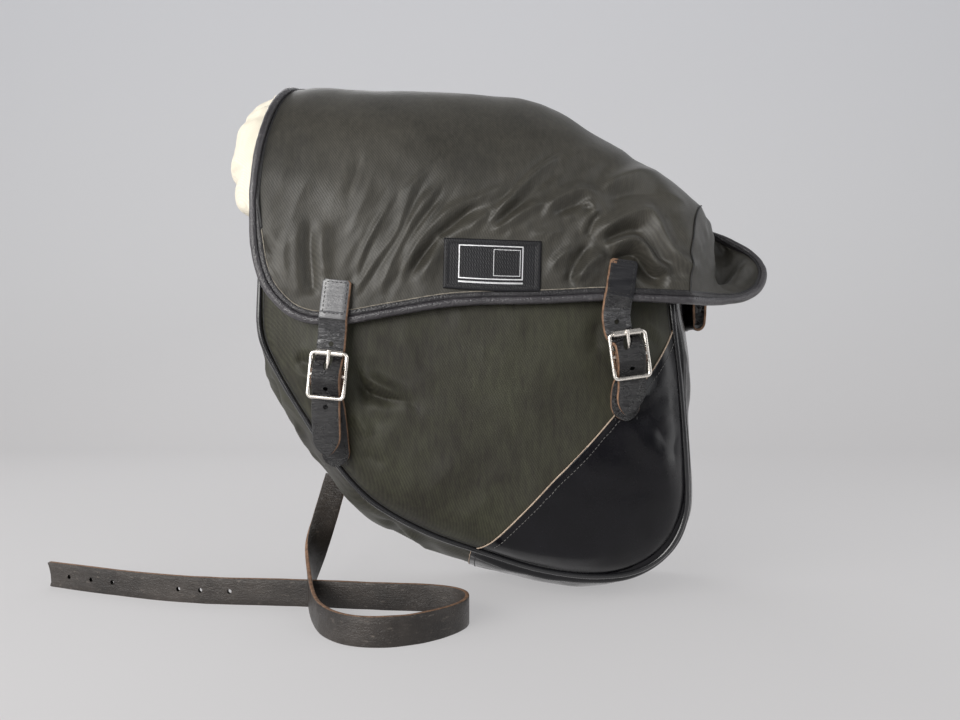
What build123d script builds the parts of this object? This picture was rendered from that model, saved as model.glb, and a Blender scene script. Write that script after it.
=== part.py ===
from build123d import *
import math
import os

os.makedirs("parts", exist_ok=True)

# ---- driving sizes, mm ----
bag_width = 346.0          # across the body at the mouth, back outline
bag_height = 398.0         # ground to the crest of the closed flap
bag_depth = 110.0          # back face to the front seam
front_bulge = 28.0         # how far the stuffed front stands out of its seam
cloth = 2.0                # lined cloth walls
board = 2.5                # back panel and yoke
mount_above_ground = 150.0 # ground to the part's origin

strap_width = 20.0
strap_thickness = 2.6
carrier_thickness = 3.0
buckle_wire = 3.0
bar_pitch = 15.5           # centre bar to either outer bar
buckle_y = -152.0          # plane of the two buckles
flap_front = 145.0         # back face to the flap's outer front
binding = 1.2              # leather binding, each side of the edge
binding_width = 7.0
running = 0.08             # radial clearance of roller and prong eye on their bars
lay = 0.35                 # clearance of leather wrapped round metal

roller_radius = buckle_wire / 2 + 1.0
sx = bag_width / 346.0
sz = bag_height / 398.0
depth_step = bag_depth - 110.0
buckle_y -= depth_step
flap_front += depth_step

# ---- outlines, x across and z above the ground: (front seam, back seam) pairs down the left, along the bottom and up the right ----
seams = [
    ((-158, 288), (-172, 290)),
    ((-161, 230), (-174, 230)),
    ((-160, 200), (-171, 190)),
    ((-148, 174), (-162, 160)),
    ((-130, 144), (-145, 125)),
    ((-108, 111), (-124, 98)),
    ((-80, 80), (-94, 62)),
    ((-40, 57), (-49, 33)),
    ((2, 42), (6, 14)),
    ((45, 29), (55, 7)),
    ((85, 24), (91, 3.6)),
    ((116, 28), (125, 8)),
    ((138, 43), (156, 22)),
    ((150, 68), (171, 48)),
    ((151, 100), (174, 90)),
    ((146, 168), (173, 166)),
    ((139, 230), (172, 230)),
    ((136, 288), (170, 290)),
]
front_seam = [(x * sx, z * sz) for (x, z), _ in seams]
back_seam = [(x * sx, z * sz) for _, (x, z) in seams]
bulge_centre = (-5.0 * sx, 150.0 * sz)
# how the front swells: share of the outline, share of the bulge
bulge_steps = [(1.0, 0.0), (0.955, 0.36), (0.86, 0.68), (0.66, 0.91), (0.35, 1.0)]


def save(solid, name):
    solid = Part() + solid
    solid = solid.moved(Location((0, 0, -mount_above_ground)))
    bodies = sorted(solid.solids(), key=lambda s: -s.volume)
    if len(bodies) > 1:
        print("   ", name, "keeps the largest of", [round(b.volume, 2) for b in bodies])
    keep = bodies[0]
    keep.label = name
    export_step(keep, "parts/" + name + ".step")
    b = keep.bounding_box()
    print("%-20s %10.1f mm3  x %.1f..%.1f  y %.1f..%.1f  z %.1f..%.1f" % (
        name, keep.volume, b.min.X, b.max.X, b.min.Y, b.max.Y, b.min.Z, b.max.Z))


def outset(points, d):
    """Moves an open outline outwards; the outline runs down the left, along the bottom and up the right."""
    out = []
    for i, (x, z) in enumerate(points):
        ax, az = points[max(i - 1, 0)]
        bx, bz = points[min(i + 1, len(points) - 1)]
        l = math.hypot(bx - ax, bz - az)
        out.append((x + d * (bz - az) / l, z - d * (bx - ax) / l))
    return out


def scaled(points, share):
    cx, cz = bulge_centre
    return [(cx + (x - cx) * share, cz + (z - cz) * share) for x, z in points]


def panel_wire(points, y):
    pts = [(x, y, z) for x, z in points]
    return Wire([Edge.make_spline([Vector(*p) for p in pts]), Edge.make_line(pts[-1], pts[0])])


def panel_plate(points, y0, y1):
    face = Face(panel_wire(points, y0))
    return Solid.extrude(face, Vector(0, y1 - y0, 0))


def prism_xz(points, y0, y1):
    face = Face(Wire.make_polygon([(x, y0, z) for x, z in points], close=True))
    return Solid.extrude(face, Vector(0, y1 - y0, 0))


def pillow(grow, base=None):
    """The swollen front as a solid, standing `grow` outside the panel's outer face."""
    base = -bag_depth if base is None else base
    wires = []
    for i, (share, rise) in enumerate(bulge_steps):
        y = -bag_depth - rise * front_bulge - (grow if i else 0.0)
        if i == 0:
            y = base
        wires.append(panel_wire(outset(scaled(front_seam, share), grow), y))
    if base > -bag_depth:
        wires.insert(1, panel_wire(outset(front_seam, grow), -bag_depth))
    return Solid.make_loft(wires, ruled=True)


def trunk(grow, y_back, y_front, top=None):
    """The body between back and front seams as a solid, its belly a little fuller than a straight run."""
    wires = []
    for share, belly in [(0.0, 0.0), (0.28, 3.5), (0.72, 3.5), (1.0, 0.0)]:
        y = y_back + (y_front - y_back) * share
        mix = [
            (b[0] + (f[0] - b[0]) * share, b[1] + (f[1] - b[1]) * share)
            for f, b in zip(front_seam, back_seam)
        ]
        mix = outset(mix, grow + belly)
        if top is not None:
            mix[0] = (mix[0][0], top)
            mix[-1] = (mix[-1][0], top)
        wires.append(panel_wire(mix, y))
    return Solid.make_loft(wires, ruled=True)


# ---- the body ----
trunk_out = trunk(0.0, -board, -bag_depth)
trunk_in = trunk(-cloth, -board, -bag_depth, top=(290 + 14) * sz)
gusset = Part() + trunk_out - trunk_in

leather_zone = prism_xz(
    [(-92 * sx, 84 * sz), (-88 * sx, 60 * sz), (-88 * sx, -40), (240 * sx, -40), (240 * sx, 196 * sz),
     (110 * sx, 196 * sz), (60 * sx, 120 * sz), (-60 * sx, 100 * sz)], 1.0, -bag_depth - 1)
bottom_gusset = gusset & leather_zone
rest = gusset - leather_zone
left_gusset = rest & Pos(-300, -60, 150) * Box(600, 400, 800)
right_gusset = rest & Pos(300, -60, 150) * Box(600, 400, 800)
save(left_gusset, "left_gusset")
save(right_gusset, "right_gusset")
save(bottom_gusset, "bottom_gusset")

pillow_out = pillow(0.0)
front_panel = Part() + pillow_out - pillow(-cloth, -bag_depth + 6)
save(front_panel, "front_panel")

patch_edge = [(141, 195), (127, 175), (107, 149), (85, 123), (46, 84), (19, 58), (8, 47), (-2, 41)]
patch_zone = prism_xz(
    [(x * sx, z * sz) for x, z in patch_edge] + [(-12 * sx, -30), (240 * sx, -30), (240 * sx, 215 * sz), (150 * sx, 215 * sz)],
    -bag_depth - 0.6, -bag_depth - front_bulge - 12)
corner_patch = (Part() + pillow(1.4, -bag_depth) - pillow_out) & patch_zone
save(corner_patch, "corner_patch")

# ---- back: lower panel, leather yoke, stiffening board ----
split_z = 210 * sz
back_plate = Part() + panel_plate(back_seam, -board, 0.0)
back_panel = back_plate & Pos(0, 0, split_z - 400) * Box(900, 40, 800)
save(back_panel, "back_panel")
yoke_top = 300 * sz
yoke_frame = prism_xz([(-171 * sx, 260 * sz), (-171 * sx, 291 * sz), (-152 * sx, yoke_top), (164 * sx, yoke_top),
                       (169.5 * sx, 291 * sz), (169.5 * sx, 260 * sz)], -board, 0.0)
back_yoke = (back_plate + yoke_frame) & Pos(0, 0, split_z + 400) * Box(900, 40, 800)
save(back_yoke, "back_yoke")
stiffener = Part() + panel_plate(outset(back_seam, -10), -board - 2.0, -board)
stiffener &= Pos(0, 0, 272 * sz - 400) * Box(900, 40, 800)
save(stiffener, "back_stiffener")

# ---- piping on both seams ----
def piping(points, y, radius):
    pts = [Vector(x, y, z) for x, z in points]
    path = Edge.make_spline(pts)
    start = Plane(origin=pts[0], z_dir=path % 0)
    return sweep(start * Circle(radius), path=path)


front_piping = piping(outset(front_seam, 1.6), -bag_depth - 0.4, 2.6)
front_piping = front_piping - trunk_out - pillow_out - corner_patch
save(front_piping, "front_piping")
back_piping = piping(outset(back_seam, 1.2), -3.0, 2.4)
back_piping = back_piping - trunk_out - back_plate - back_yoke
save(back_piping, "back_piping")


# ---- liner: a sewn band in the mouth and the collar that swells out of it ----
def collar_wire(z, x0, x1, y0, y1, r):
    w, d = x1 - x0, y1 - y0
    face = Pos((x0 + x1) / 2, (y0 + y1) / 2, z) * RectangleRounded(w, d, r)
    return face.face().outer_wire()


collar_steps = [
    (262, -150, 132, -104, -7, 20),
    (291.5, -152, 134, -104, -7, 20),
    (299, -174, 150, -104, -7.5, 24),
    (312, -193, 142, -106, -9, 30),
    (345, -197, 70, -102, -15, 34),
    (370, -186, 26, -94, -28, 30),
    (382, -160, -4, -84, -40, 20),
]


def collar(inset):
    wires = []
    for k, (z, x0, x1, y0, y1, r) in enumerate(collar_steps):
        z = z * sz
        if inset and k == 0:
            z -= 1.0
        if inset and k == len(collar_steps) - 1:
            z += 1.0
        wires.append(collar_wire(z, x0 * sx + inset, x1 * sx - inset, y0 - depth_step + inset, y1 - inset, r - inset))
    return Solid.make_loft(wires, ruled=True)


collar_out = collar(0.0)
liner = Part() + collar_out - collar(1.5)
# the lining is sewn from five panels
left_cut, front_cut, back_cut = -115 * sx, -80 - depth_step, -32.0
left_part = liner & Pos(left_cut - 200, -60, 150) * Box(400, 400, 900)
right_part = liner - Pos(left_cut - 200, -60, 150) * Box(400, 400, 900)
save(left_part & Pos(0, -55 - 100, 150) * Box(900, 200, 900), "liner_left_front")
save(left_part & Pos(0, -55 + 100, 150) * Box(900, 200, 900), "liner_left_back")
save(right_part & Pos(0, front_cut - 100, 150) * Box(900, 200, 900), "liner_front")
save(right_part & Pos(0, back_cut + 100, 150) * Box(900, 200, 900), "liner_back")
save(right_part & Pos(0, (front_cut + back_cut) / 2, 150) * Box(900, back_cut - front_cut, 900), "liner_right")
band = (Part() + trunk_in) & Pos(0, -board - 2.0 - 50, 276 * sz) * Box(600, 100, 16)
band = band & Pos(0, -bag_depth / 2, 276 * sz) * Box(600, bag_depth, 16)
band = band - collar_out
save(band, "liner_band")

# ---- the flap: cross-sections from the hinge line over the crest and down the front to the hem ----
# x at the front, x at the hinge, back y, back z, crest z, front y, knee z, hem z
main_steps = [
    (-161, -141, -1.6, 300.3, 397, -145, 280, 262),
    (-155, -137, -1.6, 300.3, 397.5, -145, 276, 240),
    (-135, -124, -1.6, 300.3, 398, -145, 270, 217),
    (-108, -104, -1.6, 300.3, 396.5, -145, 270, 211),
    (-21, -21, -1.6, 300.3, 395, -145, 270, 224),
    (34, 34, -1.6, 300.3, 392, -145, 270, 226),
    (62, 62, -1.6, 300.3, 383, -145, 270, 227),
    (98, 98, -1.6, 300.3, 360, -145, 268, 228),
    (136, 136, -1.6, 300.3, 337, -145, 266, 226),
    (162, 158, -1.6, 300.3, 317, -145, 264, 226),
    (178, 176, -1.6, 300.3, 303.5, -144, 262, 227),
]
ear_steps = [
    main_steps[-1],
    (191, 190, -14, 292, 294, -141, 262, 229),
    (206, 205, -30, 283, 285, -134, 258, 234),
    (222, 221, -48, 269, 271, -124, 259, 248),
]


def flap_profile(step, grow):
    xf, xb, yb, zb, crest, yf, knee, hem = step
    yf -= depth_step
    h, H = crest - zb, crest - knee
    shares = [(0.0, zb), (0.02, zb + 0.45 * h), (0.125, zb + 0.82 * h), (0.29, zb + 0.975 * h), (0.50, crest),
              (0.705, crest - 0.08 * H), (0.875, crest - 0.30 * H), (0.972, crest - 0.65 * H), (1.0, knee)]
    mid = [(yb + (yf - yb) * s, z * sz) for s, z in shares]
    out, inn = [], []
    for i, (y, z) in enumerate(mid):
        ay, az = mid[max(i - 1, 0)]
        by, bz = mid[min(i + 1, len(mid) - 1)]
        l = math.hypot(by - ay, bz - az)
        ny, nz = -(bz - az) / l, (by - ay) / l
        if i == 0:
            ny, nz = -1.0, 0.0
        if i == len(mid) - 1:
            ny, nz = 1.0, 0.0
        out.append((y - ny * grow, z - nz * grow))
        inn.append((y + ny * (cloth + grow), z + nz * (cloth + grow)))
    hem_z = hem * sz - grow
    return out, inn, hem_z


def flap_wire(step, grow, shift=0.0):
    out, inn, hem_z = flap_profile(step, grow)
    xf, xb, yb, zb, crest, yf, knee, hem = step
    yf -= depth_step

    def at(p):
        x = xf + (xb - xf) * (p[0] - yf) / (yb - yf)
        return Vector((x * sx + shift), p[0], p[1])

    return Wire([
        Edge.make_spline([at(p) for p in out]),
        Edge.make_line(at(out[-1]), at((out[-1][0], hem_z))),
        Edge.make_line(at((out[-1][0], hem_z)), at((inn[-1][0], hem_z))),
        Edge.make_line(at((inn[-1][0], hem_z)), at(inn[-1])),
        Edge.make_spline([at(p) for p in reversed(inn)]),
        Edge.make_line(at(inn[0]), at(out[0])),
    ])


flap_panel = Solid.make_loft([flap_wire(s, 0.0) for s in main_steps], ruled=True)
flap_ear = Solid.make_loft([flap_wire(s, 0.0) for s in ear_steps], ruled=True)
save(flap_panel, "flap_panel")
save(flap_ear, "flap_ear")
all_steps = main_steps + ear_steps[1:]
fat = Solid.make_loft(
    [flap_wire(s, binding, -binding if k == 0 else (binding if k == len(all_steps) - 1 else 0.0))
     for k, s in enumerate(all_steps)], ruled=True)
hem_zone = prism_xz(
    [(-190 * sx, 150 * sz), (-190 * sx, (262 + 30) * sz)]
    + [(s[0] * sx, s[7] * sz + binding_width) for s in all_steps]
    + [(240 * sx, (248 + 12) * sz), (240 * sx, 150 * sz)], -flap_front - 20, 0.0)
left_zone = Solid.extrude(
    Face(Wire.make_polygon([(-200 * sx, -flap_front - 20, 150 * sz), (-155.5 * sx, -flap_front - 20, 150 * sz),
                            (-131.5 * sx, 20, 150 * sz), (-200 * sx, 20, 150 * sz)], close=True)), Vector(0, 0, 320 * sz))
right_zone = Pos(215 * sx + 50, -80, 260 * sz) * Box(100, 300, 120)
flap_binding = (Part() + fat - flap_panel - flap_ear) & (Part() + hem_zone + left_zone + right_zone)
save(flap_binding, "flap_binding")


# ---- straps and buckles: drawn about the centre bar, x along the bar, z up the strap, then placed ----
def ribbon(points, radius, thickness, width):
    with BuildSketch(Plane.YZ) as sk:
        with BuildLine():
            FilletPolyline(*points, radius=radius)
        trace(line_width=thickness)
    return extrude(sk.sketch, amount=width / 2, both=True)


half = strap_thickness / 2
ring_mid = buckle_wire / 2 + lay + half
ring_out = ring_mid + half
behind_roller = roller_radius + lay + half + 0.25
behind_bar = buckle_wire / 2 + lay + half
over_bar = -(ring_out + lay + half)


def billet(top_z, hem_z, tip_z, hole_zs):
    """Strap from its sewn top, over the hem, behind the roller, over the centre bar, behind the lower bar, to a pointed tip."""
    on_flap = -flap_front - half - buckle_y
    on_binding = on_flap - binding
    pts = [
        (on_flap, top_z),
        (on_flap + 0.02, hem_z + binding_width + 7),
        (on_binding - 0.35, hem_z + binding_width + 0.5),
        (behind_roller, hem_z - 6),
        (behind_roller + 0.05, bar_pitch - 1.0),
        (over_bar, 3.2),
        (over_bar - 0.02, -2.6),
        (behind_bar, -bar_pitch + 1.6),
        (behind_bar + 0.1, -bar_pitch - 7),
        (behind_bar + 2.6, tip_z),
    ]
    strip = ribbon(pts, [6.0, 6.0, 6.0, 2.2, 2.2, 2.2, 2.2, 6.0], strap_thickness, strap_width)
    w = strap_width / 2
    shape = Face(Wire.make_polygon([(-w, 60, top_z), (w, 60, top_z), (w, 60, tip_z + 9), (3.0, 60, tip_z),
                                    (-3.0, 60, tip_z), (-w, 60, tip_z + 9)], close=True))
    strip = strip & Solid.extrude(shape, Vector(0, -120, 0))
    for z in hole_zs:
        strip -= Pos(0, 0, z) * Rot(90, 0, 0) * Cylinder(2.0, 80)
    strip -= Pos(0, 0, bar_pitch * 0.53) * Box(5.0, 14, 11.5)
    return strip


def chape(seat_y, foot_z):
    """Short strap sewn to the front, its upper end wrapped round the centre bar."""
    seat = seat_y - buckle_y
    pts = [(ring_mid, 0), (ring_mid + 0.02, -6), (seat - 1.0, -34), (seat + 0.6, foot_z)]
    run = ribbon(pts, [5.0, 8.0], strap_thickness, strap_width)
    ring = Rot(0, 90, 0) * (Cylinder(ring_out, strap_width) - Cylinder(ring_mid - half, strap_width + 2))
    body = run + ring
    body -= Pos(0, -2, 1.5) * Box(4.6, 18, 10)
    body -= Pos(0, -6.3, -3.5) * Box(4.6, 12, 10)
    body -= Rot(0, 90, 0) * Cylinder(ring_mid - half, strap_width + 2)
    return body


def frame():
    hw = (strap_width + 1.5) / 2 + buckle_wire / 2
    corner = 2.6
    side, tall = hw - corner, bar_pitch - corner
    loop = Part()
    for s in (-1, 1):
        loop += Pos(0, 0, s * bar_pitch) * Rot(0, 90, 0) * Cylinder(buckle_wire / 2, 2 * side)
        loop += Pos(s * hw, 0, 0) * Cylinder(buckle_wire / 2, 2 * tall)
        for c in (-1, 1):
            elbow = Torus(corner, buckle_wire / 2) & Pos(s * 20, c * 20, 0) * Box(40, 40, 40)
            loop += Pos(s * side, 0, c * tall) * Rot(90, 0, 0) * elbow
    bar = Rot(0, 90, 0) * Cylinder(buckle_wire / 2, 2 * hw)
    return loop + bar


def roller():
    tube = Rot(0, 90, 0) * (Cylinder(roller_radius, strap_width - 1.2) - Cylinder(buckle_wire / 2 + running, strap_width))
    return Pos(0, 0, bar_pitch) * tube


def prong():
    eye = Rot(0, 90, 0) * Cylinder(buckle_wire / 2 + running + 1.2, 3.2)
    tip_y = -(roller_radius + 0.1 + 1.2)
    a, b = Vector(0, -1.9, 0), Vector(0, tip_y - 0.25, bar_pitch + 2.2)
    shank = Plane(origin=a, z_dir=b - a) * Pos(0, 0, (b - a).length / 2) * Cylinder(1.2, (b - a).length)
    body = eye + shank
    return body - Rot(0, 90, 0) * Cylinder(buckle_wire / 2 + running, 8)


# side: name, centre bar x and z, lean of the buckle in degrees, sewn top, tip, foot of the chape, seat of the chape
sides = [
    ("left", -105.5 * sx, 172.5 * sz, 5.5, 66.5, -56.0, -66.0, -131.5),
    ("right", 103.5 * sx, 186.5 * sz, -8.0, 66.0, -41.0, -46.0, -136.5),
]
for name, bx, bz, lean, top_z, tip_z, foot_z, seat_y in sides:
    place = Location((bx, buckle_y, bz), (0, lean, 0))
    hem_near = (211 if name == "left" else 227) * sz
    local_hem = (hem_near - bz) - 1.0
    holes = [bar_pitch + 6.5, -7.5, -bar_pitch - 6.5]
    strap = billet(top_z, local_hem, tip_z, holes).moved(place)
    strap = strap - flap_panel - flap_binding - pillow_out
    save(strap, name + "_billet")
    foot = chape(seat_y - depth_step, foot_z).moved(place) - pillow_out - corner_patch
    save(foot, name + "_chape")
    save(frame().moved(place), name + "_buckle_frame")
    save(roller().moved(place), name + "_roller")
    save(prong().moved(place), name + "_prong")
    top_bar = place * Location((0, 0, bar_pitch))
    print("   ", name, "centre bar", [round(v, 4) for v in (bx, buckle_y, bz - mount_above_ground)],
          "top bar", [round(v, 4) for v in (top_bar.position.X, top_bar.position.Y, top_bar.position.Z - mount_above_ground)],
          "bar axis", round(math.cos(math.radians(lean)), 6), round(-math.sin(math.radians(lean)), 6))

# ---- label patch on the flap with a plain printed rule ----
label_lean = 1.5
patch = Location((8.5 * sx, -flap_front - 0.8, 253.5 * sz), (0, label_lean, 0)) * Box(68, 1.6, 37)
save(patch, "label_patch")
rule = Box(46, 0.2, 27) - Box(44, 1, 25)
save(Location((8.5 * sx, -flap_front - 1.7, 253.5 * sz), (0, label_lean, 0)) * rule, "label_rule")

# ---- rack loop on the right side near the back ----
loop_x = 175.4 * sx
loop_r = 3.1
t = strap_thickness
with BuildSketch(Plane.XZ) as outer:
    SlotCenterToCenter(39, 2 * (loop_r + t), rotation=90)
with BuildSketch(Plane.XZ) as inner:
    SlotCenterToCenter(39, 2 * loop_r, rotation=90)
ring = extrude(outer.sketch, amount=10, both=True) - extrude(inner.sketch, amount=12, both=True)
ring = Pos(loop_x + loop_r + t / 2, -13, 232.5 * sz) * ring
tab = Pos(loop_x, -13, 266 * sz) * Box(t, 20, 36)
rack_loop = ring + tab - trunk_out - back_piping - right_gusset
save(rack_loop, "rack_loop")
for k, z in enumerate((264, 276)):
    head = Pos(loop_x + t / 2 + 0.6, -13, z * sz) * Rot(0, 90, 0) * Cylinder(3.6, 1.2)
    save(head, "rack_rivet_%d" % (k + 1))

# ---- carrier strap: sewn under a patch low on the left side, then lying loose ----
route = [
    (-122, -10, 83), (-128, -27, 54), (-131, -62, 32), (-128, -104, 17), (-118, -144, 10), (-104, -180, 10), (-82, -200, 10),
    (-52, -200, 10), (-26, -184, 10), (-8, -160, 10), (-10, -136, 10), (-32, -122, 10), (-72, -119, 10), (-139, -108, 10),
    (-215, -103, 10), (-290, -78, 10), (-345, -54, 10),
]
route_radii = []
for a, b, c in zip(route, route[1:], route[2:]):
    u, v = Vector(*b) - Vector(*a), Vector(*c) - Vector(*b)
    turn = math.radians(u.get_angle(v))
    route_radii.append(0.45 * min(u.length, v.length) / math.tan(turn / 2))
    print("    turn %.1f deg, radius %.1f mm" % (math.degrees(turn), route_radii[-1]))
line = FilletPolyline(*route, radius=route_radii)
path = line.wire()
print("    carrier strap length %.1f mm" % path.length)

# the strap lies flat on its way down (width along x) and stands on its edge once it is on the ground
upright = 4
half_run = (Vector(*route[upright]) + Vector(*route[upright + 1])) / 2
down = FilletPolyline(*route[:upright + 1], (half_run.X, half_run.Y, half_run.Z), radius=route_radii[:upright])
down = down.wire()
flat = FilletPolyline((half_run.X, half_run.Y), *[(x, y) for x, y, z in route[upright + 1:]], radius=route_radii[upright:])


def strip_section(at, along, turn):
    wide = Vector(-math.cos(turn), 0, math.sin(turn))
    wide = (wide - along * wide.dot(along)).normalized()
    thick = along.cross(wide)
    w, h = wide * (strap_width / 2), thick * (carrier_thickness / 2)
    return Wire.make_polygon([at + w + h, at - w + h, at - w - h, at + w - h], close=True)


wires = []
count = 22
for k in range(count + 1):
    u = k / count
    ease = u * u * (3 - 2 * u)
    wires.append(strip_section(down @ u, (down % u).normalized(), math.radians(90) * ease))
fall = Solid.make_loft(wires, ruled=True)
with BuildSketch(Plane.XY) as sk:
    with BuildLine():
        FilletPolyline((half_run.X, half_run.Y), *[(x, y) for x, y, z in route[upright + 1:]], radius=route_radii[upright:])
    trace(line_width=carrier_thickness)
loose = extrude(sk.sketch, amount=strap_width)

anchor_zone = Pos(-118 * sx, -16, 90 * sz) * Rot(0, 51, 0) * Box(34, 24, 24)
anchor = (Part() + trunk(2.4, -board, -bag_depth) - trunk_out) & anchor_zone
anchor = anchor - back_piping
save(anchor, "strap_anchor")
head = Location((-127.5 * sx, -16, 97 * sz), (0, -128.5, 0)) * Cylinder(3.6, 3.0)
save(head - trunk(2.4, -board, -bag_depth) - anchor, "anchor_rivet")
carrier = (Part() + fall + loose) - trunk_out - anchor - back_piping
save(carrier, "carrier_strap")
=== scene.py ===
import math
import bpy
import numpy as np
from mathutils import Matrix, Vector
from mathutils.bvhtree import BVHTree


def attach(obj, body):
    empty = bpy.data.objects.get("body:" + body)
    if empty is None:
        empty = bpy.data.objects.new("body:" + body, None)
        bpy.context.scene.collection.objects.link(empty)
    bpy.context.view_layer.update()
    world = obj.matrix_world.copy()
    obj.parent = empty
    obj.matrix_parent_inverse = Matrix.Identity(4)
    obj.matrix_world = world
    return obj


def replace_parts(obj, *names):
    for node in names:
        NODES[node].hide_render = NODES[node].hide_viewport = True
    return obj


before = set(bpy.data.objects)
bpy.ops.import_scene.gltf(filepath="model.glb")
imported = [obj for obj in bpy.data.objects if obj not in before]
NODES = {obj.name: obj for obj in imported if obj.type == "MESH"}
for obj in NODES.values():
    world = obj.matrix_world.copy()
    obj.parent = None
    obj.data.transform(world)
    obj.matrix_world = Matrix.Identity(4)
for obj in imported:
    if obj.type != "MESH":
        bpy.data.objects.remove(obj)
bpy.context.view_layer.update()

GROUND = 150.0                # mm from the ground to the part's origin
EYE = (0.0, -760.0, 190.0)    # the camera, mm
FRONT = -145.0                # y of the flap's front face
HINGE = (-1.6, 300.3)         # y and z of the line that the flap turns about
BUCKLE = -152.0               # y of the buckles' centre bars
STRAP = 20.0                  # width of every strap, mm


# ------------------------------------------------------------------ helpers
def frame_m(p):
    """mm above the ground to metres in the part's frame."""
    p = np.asarray(p, float).copy()
    p[..., 2] -= GROUND
    return p / 1000.0


def unit(v):
    return v / np.linalg.norm(v, axis=-1, keepdims=True)


def lengths_along(path):
    """The length along a path up to each of its points."""
    return np.concatenate([[0], np.cumsum(np.linalg.norm(np.diff(path, axis=0), axis=1))])


def curve_through(points, n):
    """Catmull-Rom through the points, resampled evenly by length to n points. Works on rows of any width."""
    p = np.asarray(points, float)
    q = np.vstack([2 * p[0] - p[1], p, 2 * p[-1] - p[-2]])
    t = np.linspace(0, 1, 24, endpoint=False)[:, None]
    out = []
    for i in range(1, len(q) - 2):
        a, b, c, d = q[i - 1], q[i], q[i + 1], q[i + 2]
        out.append(0.5 * (2 * b + (c - a) * t + (2 * a - 5 * b + 4 * c - d) * t ** 2
                          + (3 * b - a - 3 * c + d) * t ** 3))
    out.append(q[-2][None, :])
    return evenly(np.vstack(out), n)


def evenly(path, n):
    at = lengths_along(path)
    u = np.linspace(0, at[-1], n)
    return np.stack([np.interp(u, at, column) for column in path.T], axis=1)


def smooth_interp(x, xs, ys):
    """Cubic interpolation of the rows ys over xs."""
    xs, ys = np.asarray(xs, float), np.asarray(ys, float)
    x = np.clip(x, xs[0], xs[-1])
    slope = np.gradient(ys, xs, axis=0)
    i = np.clip(np.searchsorted(xs, x) - 1, 0, len(xs) - 2)
    h = (xs[i + 1] - xs[i])[:, None]
    t = (x - xs[i])[:, None] / h
    return ((2 * t ** 3 - 3 * t ** 2 + 1) * ys[i] + (t ** 3 - 2 * t ** 2 + t) * h * slope[i]
            + (-2 * t ** 3 + 3 * t ** 2) * ys[i + 1] + (t ** 3 - t ** 2) * h * slope[i + 1])


def smoothstep(a, b, x):
    t = np.clip((x - a) / (b - a), 0, 1)
    return t * t * (3 - 2 * t)


def new_object(name, verts, faces, mats, body, smooth=True, mat_index=None):
    mesh = bpy.data.meshes.new(name)
    mesh.from_pydata([tuple(p) for p in frame_m(verts)], [], [tuple(int(i) for i in f) for f in faces])
    for m in (mats if isinstance(mats, (list, tuple)) else [mats]):
        mesh.materials.append(m)
    if mat_index is not None:
        mesh.polygons.foreach_set("material_index", np.asarray(mat_index, dtype=np.int32))
    if smooth:
        mesh.polygons.foreach_set("use_smooth", [True] * len(mesh.polygons))
    mesh.validate()
    mesh.update()
    ob = bpy.data.objects.new(name, mesh)
    bpy.context.collection.objects.link(ob)
    if body:
        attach(ob, body)
    return ob


def grid_faces(nu, nv, close_u=False, close_v=False, flip=False):
    f = []
    for i in range(nu if close_u else nu - 1):
        a, b = i * nv, ((i + 1) % nu) * nv
        for j in range(nv if close_v else nv - 1):
            k = (j + 1) % nv
            q = (a + j, b + j, b + k, a + k)
            f.append(q[::-1] if flip else q)
    return f


def end_caps(n, m):
    """The two end faces of a tube of n rings of m points."""
    return [tuple(range(m))[::-1], tuple((n - 1) * m + k for k in range(m))]


def grid_normals(p):
    n = np.cross(np.gradient(p, axis=0), np.gradient(p, axis=1))
    return n / (np.linalg.norm(n, axis=2, keepdims=True) + 1e-12)


def blur(a, times, axes=(0, 1)):
    """Softens a grid along its axes; its borders stay."""
    a = a.copy()
    for _ in range(times):
        for ax in axes:
            v = np.moveaxis(a, ax, 0)
            v[1:-1] = 0.25 * v[:-2] + 0.5 * v[1:-1] + 0.25 * v[2:]
    return a


def hash_noise(x, y, scale, seed):
    """Smooth value noise in two directions, about -1..1."""
    x, y = x / scale, y / scale
    xi, yi = np.floor(x).astype(np.int64), np.floor(y).astype(np.int64)
    fx, fy = x - xi, y - yi
    fx, fy = fx * fx * (3 - 2 * fx), fy * fy * (3 - 2 * fy)

    def h(i, j):
        n = (i * 374761393 + j * 668265263 + seed * 2246822519) & 0x7FFFFFFF
        n = ((n ^ (n >> 13)) * 1274126177) & 0x7FFFFFFF
        return ((n ^ (n >> 16)) & 0xFFFF) / 32767.5 - 1.0
    return ((h(xi, yi) * (1 - fx) + h(xi + 1, yi) * fx) * (1 - fy)
            + (h(xi, yi + 1) * (1 - fx) + h(xi + 1, yi + 1) * fx) * fy)


def crumple(x, y, scale, seed):
    """Sharp little creases between soft bulges, about -0.5..0.5."""
    bent = x + 0.3 * scale * hash_noise(x, y, scale * 1.7, seed + 1)
    a = 1 - np.abs(hash_noise(bent, y, scale, seed)) * 2
    b = 1 - np.abs(hash_noise(y * 0.8 - x * 0.6, x * 0.8 + y * 0.6, scale * 0.55, seed + 2)) * 2
    return 0.35 * a + 0.15 * b


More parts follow.
